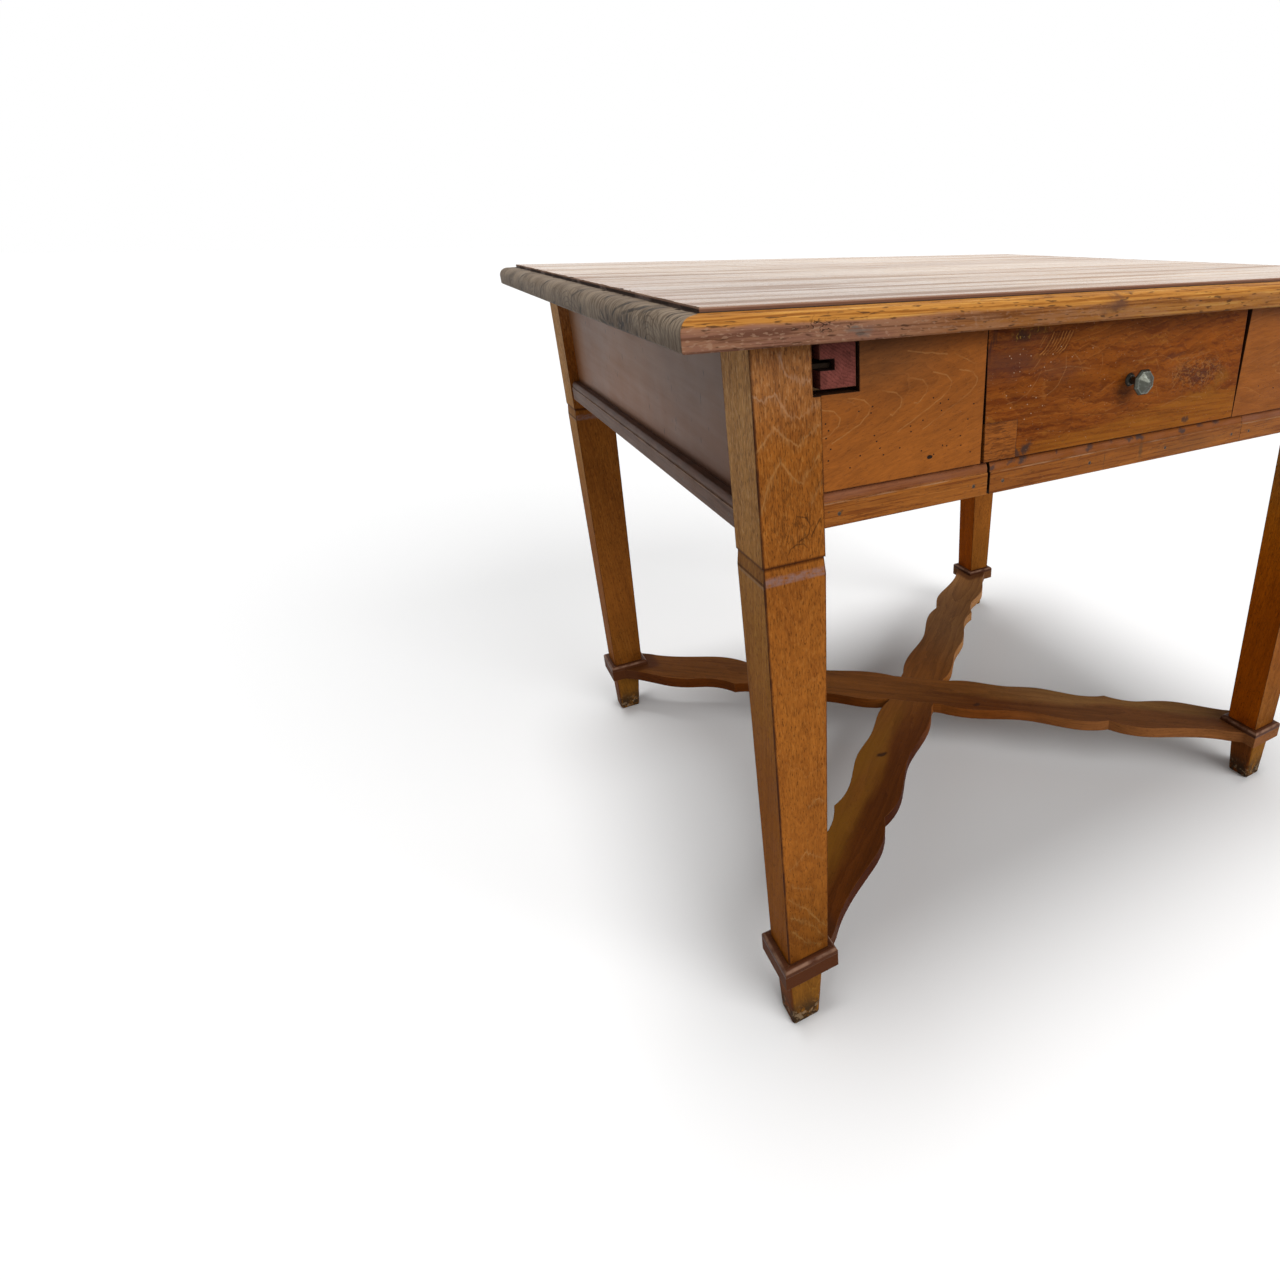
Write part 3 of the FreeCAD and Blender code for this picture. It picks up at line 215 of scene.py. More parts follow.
class Surface(Net):
    """Net of one material, with its colour, height and roughness while details are laid over each other."""

    def __init__(self, name, edge=0.0016):
        self.material = bpy.data.materials.new(name)
        self.material.use_nodes = True
        self.material.node_tree.nodes.clear()
        super().__init__(self.material.node_tree)
        self.place = self.put("ShaderNodeTexCoord").outputs["Object"]
        self.x, self.y, self.z = self.parts(self.place)[:3]
        self.rounded = self.put("ShaderNodeBevel", {"Radius": edge}, samples=6).outputs[0]
        self.facing = self.put("ShaderNodeNewGeometry").outputs["Normal"]
        self.facing_x, self.facing_y, self.facing_z = self.parts(self.facing)[:3]
        self.rough_by = None

    def wood(self, along, pith, ring, seed, base, dark, pale, lines, late, pores, swells=()):
        """Lays the wood; swells are knots that the rings run round, as marks with a height in metres."""
        along = Vector(along).normalized()
        depth = Vector((0, 0, 1)) if abs(along.z) < 0.7 else Vector((0, 1, 0))
        across = depth.cross(along).normalized()
        depth = along.cross(across)
        turn = Matrix((along, across, depth))
        values = {"Vector": self.place, "Location": -(turn @ Vector(pith)), "Rotation": turn.to_euler()}
        self.grain = self.put("ShaderNodeMapping", values).outputs[0]
        swell = self.marks(swells, 0.006, 40, 0) if swells else 0
        values = {"Grain": self.grain, "Seed": seed, "Ring": ring, "Lines": lines, "Late": late,
                  "Swell": swell, "Pores": pores, "Base": rgb(*base), "Dark": rgb(*dark), "Pale": rgb(*pale)}
        made = self.put("ShaderNodeGroup", values, node_tree=OLD_WOOD).outputs
        self.colour = made["Color"]
        self.height = made["Height"]
        self.streak = made["Streak"]
        self.phase = made["Phase"]
        self.bent = made["Bent"]
        return self

    def ragged(self, size=0.004, fineness=90):
        """Position with a jagged shift, so that painted marks get uneven outlines."""
        wild = self.wild(self.place, fineness, 3, 0.6)
        shift = self.vector("MULTIPLY", self.vector("SUBTRACT", wild, (0.5,) * 3), (size * 2,) * 3)
        return self.vector("ADD", self.place, shift)

    def patches(self, scales, low, high, detail=2, roughness=0.5, place=None):
        """Mask of the patches where a noise passes from low to high."""
        place = self.place if place is None else place
        return self.step(self.noise(place, scales, detail, roughness), low, high)

    def marks(self, rows, size=0.004, fineness=90, hard=0.5, plane="xz"):
        """Mask of round marks; a row is place and half size along the plane's axes in mm, and strength."""
        place = self.ragged(size, fineness)
        first, second = ("xyz".index(letter) for letter in plane)
        total = None
        for row in rows:
            centre = [0] * 3
            scale = [0] * 3
            centre[first], centre[second] = row[0] / 1000, row[1] / 1000
            scale[first], scale[second] = 1000 / row[2], 1000 / row[3]
            away = self.vector("MULTIPLY", self.vector("SUBTRACT", place, centre), scale)
            away = self.vector("LENGTH", away)
            mark = self.times(self.step(away, 1, hard), row[4])
            total = mark if total is None else self.most(total, mark)
        return total

    def strokes(self, lines, width, plane="xz"):
        """Mask of thin lines."""
        return self.step(self.gap_to(lines, plane), width, width * 0.4)

    def gap_to(self, lines, plane="xz", place=None):
        """Distance to the nearest line; a line is a row of places in mm along the plane's two axes."""
        first, second = ("xyz".index(letter) for letter in plane)
        keep = [0] * 3
        keep[first] = keep[second] = 1
        place = self.vector("MULTIPLY", self.ragged(0.0012, 140) if place is None else place, keep)
        total = None
        for line in lines:
            points = [Vector((0, 0, 0)) for row in line]
            for point, row in zip(points, line):
                point[first], point[second] = row[0] / 1000, row[1] / 1000
            for start, end in zip(points, points[1:]):
                span = end - start
                away = self.vector("SUBTRACT", place, start)
                share = self.vector("DOT_PRODUCT", away, span / span.length_squared)
                share = self.least(self.most(share, 0), 1)
                values = {0: span, "Scale": share}
                along = self.put("ShaderNodeVectorMath", values, operation="SCALE").outputs[0]
                gap = self.vector("LENGTH", self.vector("SUBTRACT", away, along))
                total = gap if total is None else self.least(total, gap)
        return total

    def faded(self, least=0.3, fineness=70):
        """Uneven strength from least to 1, for lines that come and go."""
        return self.linear(self.patches(fineness, 0.36, 0.6), 1 - least, least)

    def shared(self, mask):
        """One mask from a single mask or from several in a tuple."""
        return self.times(*mask) if isinstance(mask, tuple) else mask

    def paint(self, mask, colour, amount=1):
        """Lays a colour over the wood where the mask is, or all masks of a tuple."""
        self.colour = self.mix(self.times(self.shared(mask), amount), self.colour, rgb(*colour))

    def tint(self, mask, colour):
        """Multiplies the colour by a tint where the mask is, or all masks of a tuple."""
        self.colour = self.mix(self.shared(mask), self.colour, rgb(*colour), "MULTIPLY")

    def dent(self, mask, depth):
        self.height = self.linear(mask, -depth, self.height)

    def bend(self):
        """How far the rounded edges turn away from the flat faces."""
        return self.inverse(self.vector("DOT_PRODUCT", self.rounded, self.facing))

    def edge_wear(self, colour, amount=0.6, fineness=70, gaps=0.36):
        """Patchy colour along a piece's edges."""
        edges = self.step(self.bend(), 0.006, 0.12)
        patchy = self.patches(fineness, gaps, gaps + 0.2, 3, 0.6)
        self.paint(self.times(edges, patchy), colour, amount)

    def shade_joint_faces(self, axis):
        """Painted shade: near-black on the faces that close a joint, those square to an axis."""
        square = self.absolute(self.facing_x if axis == "X" else self.facing_y)
        self.paint(self.step(square, 0.8, 0.95), (0.012, 0.006, 0.004), 0.9)

    def cracks(self, zone, scales, width=0.02, colour=(0.018, 0.009, 0.006), amount=0.9):
        """Thin wandering cracks inside a zone mask."""
        line = self.absolute(self.add(self.noise(self.place, scales, 2, 0.6), -0.5))
        crack = self.times(self.step(line, width, width * 0.4), zone)
        self.paint(crack, colour, amount)
        self.dent(crack, 2)

    def worm_holes(self, zone, spacing, share):
        """Small round holes in a share of the cells of a loose grid, inside a zone mask."""
        values = {"Vector": self.vector("MULTIPLY", self.place, (spacing,) * 3), "Scale": 1, "Randomness": 1}
        cells = self.put("ShaderNodeTexVoronoi", values, voronoi_dimensions="3D").outputs
        luck = self.put("ShaderNodeSeparateColor", {0: cells["Color"]}).outputs[0]
        chosen = self.math("LESS_THAN", luck, share)
        hole = self.times(self.step(cells["Distance"], 0.16, 0.09), chosen, zone)
        self.paint(hole, (0.025, 0.009, 0.004), 0.9)
        self.dent(hole, 3)

    def close(self, bump, depth, values):
        """Bumps the surface by its height and ends the material; values go to the shader."""
        given = {"Strength": bump, "Distance": depth, "Height": self.height, "Normal": self.rounded}
        bumped = self.put("ShaderNodeBump", given).outputs[0]
        values = {"Base Color": self.colour, "Normal": bumped, **values}
        shader = self.put("ShaderNodeBsdfPrincipled", values)
        self.put("ShaderNodeOutputMaterial", {"Surface": shader.outputs[0]})
        return self.material

    def finish(self, roughness=0.55, sway=0.16, specular=0.06, bump=0.5, sheen=(1, 1, 1)):
        gloss = self.times(self.add(self.streak, -0.5), sway)
        gloss = self.add(self.swing(self.place, 25, sway, 3, 0.6), gloss)
        if self.rough_by is not None:
            gloss = self.add(gloss, self.rough_by)
        values = {"Roughness": self.add(gloss, roughness), "Specular IOR Level": specular,
                  "Specular Tint": rgb(*sheen)}
        return self.close(bump, 0.0006, values)


def dress(node, material):
    obj = nodes[node]
    obj.data.materials.clear()
    obj.data.materials.append(material)


# Wood colours, as base, dark and pale tones
HONEY = ((0.35, 0.115, 0.017), (0.19, 0.053, 0.008), (0.54, 0.26, 0.085))
CHESTNUT = ((0.375, 0.123, 0.018), (0.205, 0.057, 0.009), (0.56, 0.27, 0.09))
AMBER = ((0.345, 0.104, 0.015), (0.19, 0.053, 0.008), (0.48, 0.21, 0.06))
RUSSET = ((0.275, 0.074, 0.008), (0.14, 0.035, 0.005), (0.42, 0.17, 0.042))
UMBER = ((0.258, 0.088, 0.0165), (0.13, 0.042, 0.009), (0.33, 0.13, 0.036))
PANEL = ((0.115, 0.05, 0.024), (0.085, 0.036, 0.018), (0.14, 0.065, 0.034))
TAN = ((0.53, 0.318, 0.138), (0.39, 0.205, 0.08), (0.6, 0.41, 0.21))
MULBERRY = ((0.088, 0.028, 0.01), (0.056, 0.016, 0.006), (0.15, 0.06, 0.024))
RAW = ((0.36, 0.205, 0.095), (0.22, 0.115, 0.05), (0.46, 0.29, 0.15))
CLARET = ((0.25, 0.07, 0.055), (0.07, 0.018, 0.014), (0.32, 0.13, 0.1))

# Marks are drawn in mm on the faces, as arcs, short lines and scattered spots
chance = random.Random(5)


def arc(x, z, radius, start, end, count=4):
    """Points along part of a circle, from one angle to another in degrees."""
    angles = [math.radians(start + (end - start) * number / count) for number in range(count + 1)]
    return [(x + radius * math.cos(angle), z + radius * math.sin(angle)) for angle in angles]


def flame(x, z, tail):
    """Points of a ring line on a flat-sawn board: round nose on the right, tail down to the left."""
    nose = [(x - 20, z + 9), (x - 6, z + 6), (x, z), (x - 2, z - 6), (x - 10, z - 13)]
    return nose + [(x - tail, z - 4 - tail * 0.6)]


# Legs: square block with pale lines, groove, taper
LEG_LINES = (
    ((-405, 735), (-400, 720), (-390, 715), (-380, 715)),
    ((-428, 708), (-420, 703), (-410, 708), (-400, 690), (-390, 688), (-374, 696)),
    ((-428, 665), (-412, 682), (-400, 670), (-392, 666), (-374, 680)),
    ((-428, 615), (-415, 648), (-408, 655), (-398, 640), (-390, 635), (-374, 656)),
    ((-382, 616), (-374, 632)),
    ((-420, 210), (-400, 196)),
    ((-425, 195), (-405, 170), (-385, 135)),
    ((-423, 168), (-405, 152), (-385, 118)),
    ((-423, 148), (-408, 124), (-390, 110)),
    ((-422, 234), (-402, 248), (-386, 232)),
    arc(-389, 302, 8, 160, 20),
)
LEG_CURLS = (arc(-395, 596, 11, 95, -90), arc(-396, 573, 10, 170, 30), ((-375, 602), (-384, 587)))


def lined_front(net):
    """Pale lines across the near leg's front, with teeth along the fibres and darker wood beside them."""
    front = net.step(net.facing_y, -0.8, -0.95)
    teeth = net.joined(0, 0, net.swing(net.place, (430, 1, 30), 0.007))
    gap = net.gap_to(LEG_LINES, place=net.vector("ADD", net.ragged(0.0016, 70), teeth))
    net.tint((net.step(gap, 0.011, 0.001), front), (0.89, 0.87, 0.85))
    fringe = net.times(net.step(gap, 0.0055, 0.0005), net.patches((700, 700, 90), 0.46, 0.6))
    line = net.times(net.step(gap, 0.0014, 0.0003), net.faded(0.4, 80))
    net.paint((net.most(net.times(fringe, 0.6), line), front), (0.47, 0.225, 0.07), 0.5)
    curl = net.times(net.strokes(LEG_CURLS, 0.0009), net.faded(0.4, 90))
    net.paint((curl, front), (0.06, 0.022, 0.007), 0.7)


def leg_groove(net, side, to_front):
    """Worn speckled lip in front; at the sides painted shade as dark lines and a darker hollow, and a pale
    edge; painted shade in the corner under the block.
    """
    lip = net.band(net.z, -0.003, -0.0005, 0.0035, 0.008, GROOVE_Z)
    rubbed = net.patches((150, 150, 300), 0.25, 0.65, 3, 0.6)
    net.paint((lip, to_front, rubbed), (0.27, 0.155, 0.13), 0.85)
    # Painted shade on the sides: a dark line low in the groove and a darker hollow above it
    low_line = net.band(net.z, -0.0017, -0.0005, 0.001, 0.0023, GROOVE_Z)
    net.tint((low_line, side), (0.35, 0.3, 0.28))
    hollow = net.band(net.z, -0.0005, 0.003, 0.011, 0.0145, GROOVE_Z)
    net.tint((hollow, side), (0.72, 0.66, 0.6))
    low_edge = net.band(net.z, -0.005, -0.003, -0.0019, -0.0007, GROOVE_Z)
    net.paint((low_edge, side), (0.33, 0.2, 0.11), 0.6)
    # Painted shade: dark line in the corner under the block, on all faces
    net.tint(net.band(net.z, 0.011, 0.014, 0.0152, 0.018, GROOVE_Z), (0.4, 0.34, 0.32))


def leg_material(name, along, pith, seed, near):
    net = Surface(name, 0.0024)
    strength = 0.1
    if not near:
        lined = net.most(net.step(net.z, 0.2, 0.13), net.step(net.z, 0.58, 0.63))
        strength = net.linear(lined, 0.62, 0.1)
    net.wood(along, pith, 0.0042, seed, *CHESTNUT, lines=strength, late=0.45, pores=0.8)
    side = net.step(net.absolute(net.facing_x), 0.6, 0.8)
    to_front = net.step(net.facing_y, -0.5, -0.8)
    # Fine dark and pale fibres, more of them on the square block, curled on the near one
    block = net.linear(net.step(net.z, 0.555, 0.6), 0.35, net.times(net.step(net.z, -0.02, 0.45), 0.65))
    thread = net.noise(net.place, (680, 680, 140), 3, 0.6)
    net.paint((net.step(thread, 0.52, 0.63), block), (0.085, 0.03, 0.009), 0.46)
    net.paint((net.step(thread, 0.45, 0.35), block), (0.56, 0.25, 0.06), 0.31)
    if near:
        lined_front(net)
        curl = net.marks([(-398, 596, 26, 30, 1), (-408, 625, 20, 22, 0.7)], 0.01, 50, 0.3)
        net.cracks(net.times(curl, to_front), (260, 260, 60), 0.035, (0.07, 0.026, 0.008), 0.45)
    net.worm_holes(net.patches((14, 14, 9), 0.5, 0.62), 150, 0.14)
    # Painted light and shade by the way the faces turn: sides olive-grey above and darker towards the ankle,
    # inner faces warmer low down. Fronts greyer at the top, a little darker around the groove and darker
    # towards the ankle.
    high = net.step(net.z, 0.3, 0.72)
    net.tint((side, high), (1.57, 2.45, 5.7))
    net.tint((side, net.inverse(high)), (0.85, 0.79, 0.23))
    inner = net.step(net.times(net.facing_x, net.x), -0.15, -0.3)
    net.tint((inner, net.step(net.z, 0.6, 0.4)), (1.45, 1.02, 0.25))
    front = net.inverse(side)
    net.tint((front, net.step(net.z, 0.655, 0.74)), (1.1, 1.4, 2.9))
    net.tint((front, net.band(net.z, 0.5, 0.56, 0.62, 0.68)), (0.92, 0.91, 0.9))
    net.tint((front, net.step(net.z, 0.26, 0.12)), (0.72, 0.74, 0.66))
    leg_groove(net, side, to_front)
    # Dirt above the ankle ring and a dark line along the corners
    soiled = net.patches(30, 0.3, 0.6, 3)
    net.tint((net.step(net.z, 0.135, 0.1), soiled), (0.62, 0.56, 0.5))
    net.edge_wear((0.055, 0.017, 0.008), 0.85, 45, 0.22)
    strip_x = net.step(net.absolute(net.x), LEG_X - 0.0023, LEG_X - 0.0011)
    strip_y = net.step(net.absolute(net.y), LEG_Y - 0.0023, LEG_Y - 0.0011)
    net.paint((strip_x, strip_y, net.faded(0.45, 40)), (0.05, 0.016, 0.008), 0.85)
    # Painted shade: black inside the notch for the batten
    in_height = net.step(net.z, NOTCH_Z - 0.001, NOTCH_Z - 0.0003)
    in_width = net.step(net.absolute(net.x), NOTCH_X + 0.0004, NOTCH_X - 0.0002)
    net.paint((in_height, in_width, net.step(net.y, -0.33, -0.34)), (0.01, 0.006, 0.005), 0.95)
    return net.finish(roughness=0.6, specular=0.03)


LEGS = {
    "front_left": ((0, -0.15, 1), (-0.393, -0.348, 0.65), 3.1),
    "front_right": ((0.02, -0.11, 1), (0.4, -0.34, 0.5), 7.4),
    "back_left": ((-0.1, 0.03, 1), (-0.35, 0.33, 0.45), 12.2),
    "back_right": ((0.08, 0.1, 1), (0.372, 0.34, 0.5), 18.9),
}
for corner, (along, pith, seed) in LEGS.items():
    dress("leg_" + corner, leg_material("leg_wood_" + corner, along, pith, seed, corner == "front_left"))


# Feet: golden, the sides darker as painted shade, worn and dirty near the floor
def foot_material(name, along, pith, seed):
    net = Surface(name, 0.0024).wood(along, pith, 0.004, seed, *AMBER, lines=0.2, late=0.7, pores=0.6)
    side = net.step(net.absolute(net.facing_x), 0.5, 0.8)
    # Fronts tinted olive; painted shade: sides darker than the fronts
    net.tint(net.inverse(side), (0.78, 1.02, 0.9))
    net.tint(side, (0.6, 0.56, 0.7))
    grime = net.patches((90, 90, 60), 0.37, 0.52, 4, 0.7, net.ragged(0.006, 60))
    net.paint((net.step(net.z, 0.05, 0.012), grime), (0.032, 0.02, 0.011), 0.92)
    scuffed = net.patches(150, 0.54, 0.62, 3, 0.6, net.ragged(0.006, 60))
    net.paint((net.step(net.z, 0.034, 0.012), scuffed), (0.34, 0.23, 0.13), 0.6)
    net.edge_wear((0.07, 0.035, 0.015), 0.7, 60)
    return net.finish(roughness=0.62, specular=0.04, bump=0.7)


for corner, (along, pith, seed) in LEGS.items():
    dress("foot_" + corner, foot_material("foot_wood_" + corner, (0, 0.1, 1), pith, seed + 40))


# Stretcher planks: golden sapwood on one arm, red-brown heads, paler side edges with painted shade on the
# left; and their ankle rings
def plank_material(name, along, seed, sap_share, knots):
    net = Surface(name).wood(along, (0, 0, 0.02), 0.0045, seed, *UMBER, lines=0.25, late=0.8, pores=0.6)
    across = net.parts(net.grain)[1]
    sap = net.step(net.add(across, net.swing(net.grain, (4, 16, 16), 0.07, 3)), -0.006, 0.01)
    near_arm = net.step(net.y, 0.02, -0.12)
    mottle = net.patches((9, 40, 40), 0.3, 0.62, 3, place=net.grain)
    golden = net.times(sap, near_arm, net.linear(mottle, 0.6, 0.4))
    net.paint(golden, (0.28, 0.115, 0.012), sap_share)
    net.tint((net.inverse(sap), near_arm), (0.6, 0.48, 0.42))
    net.tint(net.step(net.x, 0.06, 0.2), (1.38, 1.83, 3.2))
    net.paint(net.marks(knots, 0.006, 60, plane="xy"), (0.03, 0.012, 0.007), 0.85)
    plank_sides = net.inverse(net.step(net.absolute(net.facing_z), 0.5, 0.8))
    net.tint(plank_sides, (1.55, 1.6, 1.6))
    # Painted shade: the side edges dark on the left part
    net.tint((plank_sides, net.step(net.x, 0.02, -0.12)), (0.29, 0.2, 0.12))
    off_x = net.step(net.absolute(net.x), HEAD_X - 0.0238, HEAD_X - 0.0118)
    off_y = net.step(net.absolute(net.y), HEAD_Y - 0.0238, HEAD_Y - 0.0118)
    golden_head = net.times(net.step(net.x, 0.1, 0.3), net.step(net.y, 0, -0.2))
    head = net.times(off_x, off_y, net.linear(golden_head, -0.75, 1))
    net.paint(head, MULBERRY[0], 0.8)
    net.edge_wear((0.24, 0.105, 0.04), 0.5, 40)
    return net.finish(roughness=0.55, specular=0.04)


UPPER = plank_material("stretcher_wood_upper", (0.7466, -0.6653, 0), 5.5, 0.15, [(60, -90, 9, 6, 0.8)])
LOWER = plank_material("stretcher_wood_lower", (0.7466, 0.6653, 0), 9.8, 0.75, [(-148, -120, 10, 6, 1)])
dress("stretcher_plank_upper", UPPER)
dress("stretcher_plank_lower", LOWER)


def ankle_material():
    net = Surface("ankle_wood").wood((1, 0.02, 0), (0, 0, 0.06), 0.003, 2.2, *MULBERRY,
                                      lines=0.1, late=0.6, pores=0.5)
    # Painted highlight: patchy pale line along the bead's top edge
    crest = net.band(net.z, -0.0045, -0.0025, -0.0012, -0.0002, RING_Z)
    net.paint((crest, net.patches(55, 0.34, 0.6, 3)), (0.34, 0.19, 0.12), 0.6)
    net.edge_wear((0.25, 0.12, 0.06), 0.3, 55)
    return net.finish(roughness=0.42, specular=0.08)


ANKLE = ankle_material()
for corner in LEGS:
    dress("ankle_bead_" + corner, ANKLE)


# Boards either side of the drawer and at the back: pale nested ring lines, worm holes
def front_board(name, along, pith, seed, holes, dull, loops=()):
    lines = 0.12 if loops else 0.6
    net = Surface(name).wood(along, pith, 0.0042, seed, *AMBER, lines=lines, late=0.35, pores=0.3)
    # Painted shade: darker and greyer in the dull patches by the top and the leg, and darker along the top
    # under its overhang
    net.tint(net.marks(dull, 0.02, 20, 0.1), (0.58, 0.67, 1.15))
    net.tint(net.step(net.z, 0.722, 0.742), (0.75, 0.72, 0.72))
    if loops:
        net.paint((net.strokes(loops, 0.0008), net.faded(0.3, 60)), (0.45, 0.2, 0.06), 0.44)
    else:
        eaten = net.patches(16, 0.44, 0.58)
        net.worm_holes(net.times(net.step(net.z, 0.7, 0.67), eaten), 160, 0.16)
    hole = net.marks(holes, 0.0006, 300, 0.75)
    net.paint(hole, (0.012, 0.006, 0.004))
    net.dent(hole, 4)
    net.edge_wear((0.06, 0.02, 0.009), 0.7, 45)
    net.shade_joint_faces("X")
    # Painted shade: black on the upward faces low on the board, the floor of the notch
    ledge = net.times(net.step(net.facing_z, 0.7, 0.9), net.step(net.z, 0.72, 0.71))
    net.paint(ledge, (0.012, 0.007, 0.005), 0.93)
    return net.finish(roughness=0.52, specular=0.08)


def worm_hole():
    return (chance.uniform(-368, -216), chance.triangular(630, 700, 655), 0.95, 0.75, 0.9)


WORM_HOLES_LEFT = [worm_hole() for number in range(32)] + [(-265, 638, 3.4, 2, 1)]
LOOPS_LEFT = (
    flame(-354, 683, 18), flame(-326, 689, 36), flame(-295, 692, 12),
    flame(-269, 700, 14), flame(-244, 702, 55), flame(-216, 702, 57),
    ((-290, 730), (-250, 725)), ((-242, 725), (-220, 715)),
)
dress("front_panel_left", front_board(
    "front_wood_left", (0.97, 0.174, 0.245), (-0.29, -0.338, 0.697), 4.4,
    WORM_HOLES_LEFT, [(-330, 735, 120, 60, 1)], LOOPS_LEFT))
dress("front_panel_right", front_board(
    "front_wood_right", (1, -0.12, 0.06), (0.27, -0.33, 0.67), 8.1,
    [(230, 650, 1.3, 1, 1)], [(330, 745, 130, 45, 0.8)]))
dress("back_panel", front_board(
    "back_wood", (1, 0.05, 0.04), (0, 0.32, 0.66), 21,
    [(-120, 660, 1.3, 1, 1)], [(200, 740, 220, 45, 0.8)]))


# Ends of the apron: dark, evenly toned boards with a few scratches
def end_board(name, pith, seed):
    net = Surface(name).wood((0.03, 1, 0.05), pith, 0.005, seed, *PANEL, lines=0.05, late=0.2, pores=0.1)
    cloud = net.patches((6, 6, 9), 0.35, 0.65, 3)
    even = net.mix(cloud, rgb(0.15, 0.07, 0.036), rgb(0.12, 0.062, 0.04))
    net.colour = net.mix(0.72, net.colour, even)
    net.worm_holes(net.patches(9, 0.5, 0.6), 90, 0.12)
    net.paint(net.patches((40, 260, 60), 0.735, 0.76, 1), (0.02, 0.012, 0.01), 0.85)
    net.tint(net.step(net.y, -0.32, 0.1), (1.66, 1.62, 1.42))
    net.tint(net.step(net.z, 0.7, 0.63), (1.1, 1, 0.9))
    # Painted shade: darker along the bottom, above the moulding
    net.tint(net.step(net.z, 0.618, 0.609), (0.5, 0.45, 0.45))
    net.edge_wear((0.05, 0.02, 0.01), 0.6, 45)
    return net.finish(roughness=0.4, specular=0.08, bump=0.12)


dress("end_panel_left", end_board("end_wood_left", (-0.34, 0, 0.66), 6.3))
dress("end_panel_right", end_board("end_wood_right", (0.34, 0, 0.66), 15.7))


# Mouldings: purple-brown worn bead over an orange fascia
def moulding(name, along, pith, seed, bead_z, tone, stains=(), runs=(), bead_tone=(0.19, 0.06, 0.026)):
    net = Surface(name).wood(along, pith, 0.0035, seed, *tone, lines=0.2, late=0.6, pores=0.5)
    bead = net.step(net.z, bead_z, bead_z + 0.0012)
    fine = net.noise(net.grain, (9, 420, 420), 4, 0.65)
    net.tint(net.step(fine, 0.5, 0.62), (0.62, 0.52, 0.44))
    net.tint(net.step(fine, 0.42, 0.34), (1.2, 1.2, 1.1))
    rub = net.patches((35, 35, 120), 0.35, 0.65, 3)
    net.paint(bead, bead_tone, 0.62)
    net.paint((bead, rub), (0.3, 0.14, 0.09), 0.2)
    # Pale patchy line along the arris under the bead: wear, and a painted highlight
    arris = net.band(net.z, -0.0016, -0.0006, -0.0004, 0.0003, bead_z)
    net.paint((arris, rub), (0.55, 0.32, 0.18), 0.5)
    shadow_line = net.step(net.z, bead_z + 0.0078, bead_z + 0.0092)
    net.paint(shadow_line, (0.045, 0.007, 0.005), 0.85)
    if stains:
        net.paint(net.marks(stains, 0.008, 110, 0.3), (0.045, 0.032, 0.03), 0.85)
    if runs:
        net.paint(net.marks(runs, 0.003, 60, 0.2), (0.1, 0.05, 0.02), 0.7)
    net.edge_wear((0.36, 0.17, 0.07), 0.3, 60)
    net.shade_joint_faces("X" if abs(along[0]) > 0.5 else "Y")
    return net.finish(roughness=0.5, specular=0.1)


ALONG_MOULDING = (1, 0.02, 0)
ALONG_END = (0, 1, 0.02)
END_BEAD_TONE = (0.072, 0.038, 0.028)
BEAD_STAINS = [
    (-189, 617, 6, 3, 0.9), (-167, 619, 9, 3, 0.75), (-151, 617, 10, 5, 1), (-107, 619, 3, 3, 0.8),
    (-61, 618, 8, 5, 0.9), (-3, 619, 8, 4, 0.9), (15, 618, 11, 6, 1), (82, 617, 7, 4, 1),
    (112, 619, 8, 3, 0.8), (141, 619, 8, 4, 0.9), (-30, 619, 4, 2.5, 0.6),
]
dress("front_moulding_left", moulding(
    "moulding_wood_left", ALONG_MOULDING, (-0.3, -0.33, 0.58), 1.3,
    FRONT_BEAD_Z, HONEY, (),
    [(-353, 603, 2, 1.4, 1), (-366, 604, 1.6, 1.4, 1)]))
dress("front_moulding_middle", moulding(
    "moulding_wood_middle", (1, 0.02, 0.015), (0, -0.34, 0.6), 2.7,
    FRONT_BEAD_Z, HONEY, BEAD_STAINS,
    [(16, 604, 5, 12, 0.9), (-39, 602, 0.9, 12, 1), (100, 600, 85, 16, 0.35)], (0.24, 0.064, 0.006)))
dress("front_moulding_right", moulding(
    "moulding_wood_right", ALONG_MOULDING, (0.3, -0.33, 0.58), 3.9,
    FRONT_BEAD_Z, HONEY, (), [(200, 603, 5, 1.4, 1)]))
dress("back_moulding", moulding(
    "moulding_wood_back", ALONG_MOULDING, (0, 0.33, 0.58), 5.1,
    FRONT_BEAD_Z, HONEY))
dress("end_moulding_left", moulding(
    "moulding_wood_end_left", ALONG_END, (-0.36, 0, 0.57), 6.7,
    END_BEAD_Z, PANEL, bead_tone=END_BEAD_TONE))
dress("end_moulding_right", moulding(
    "moulding_wood_end_right", ALONG_END, (0.36, 0, 0.57), 7.9,
    END_BEAD_Z, PANEL, bead_tone=END_BEAD_TONE))


# Drawer front: dark scar and knot, scratches, golden band along the bottom
def speck():
    return (chance.triangular(-190, -40, -175), chance.uniform(645, 722), 0.8, 0.7, 0.9)


SCRATCHES = (
    arc(-140, 707, 30, 20, -110),
    arc(-80, 702, 18, 90, -30),
    arc(-180, 716, 41, -20, -90),
    arc(92, 676, 15, 130, -40),
    arc(122, 668, 10, 80, -80),
    ((-102, 715), (-93, 707), (-87, 696)),
    ((-137, 701), (-105, 703), (-70, 697)),
    ((-50, 654), (-25, 659)),
    ((-66, 672), (-41, 683)),
    ((-152, 703), (-144, 712)),
    ((-20, 700), (25, 703), (40, 697), (75, 697), (100, 701)),
    ((15, 700), (23, 688), (20, 675), (27, 660)),
    ((35, 650), (65, 657), (98, 653)),
)
HATCHING = [((x, 735), (x - 4, 727), (x - 9, 720), (x - 15, 716)) for x in range(-130, -103, 4)]
SPECKS = [speck() for number in range(24)]


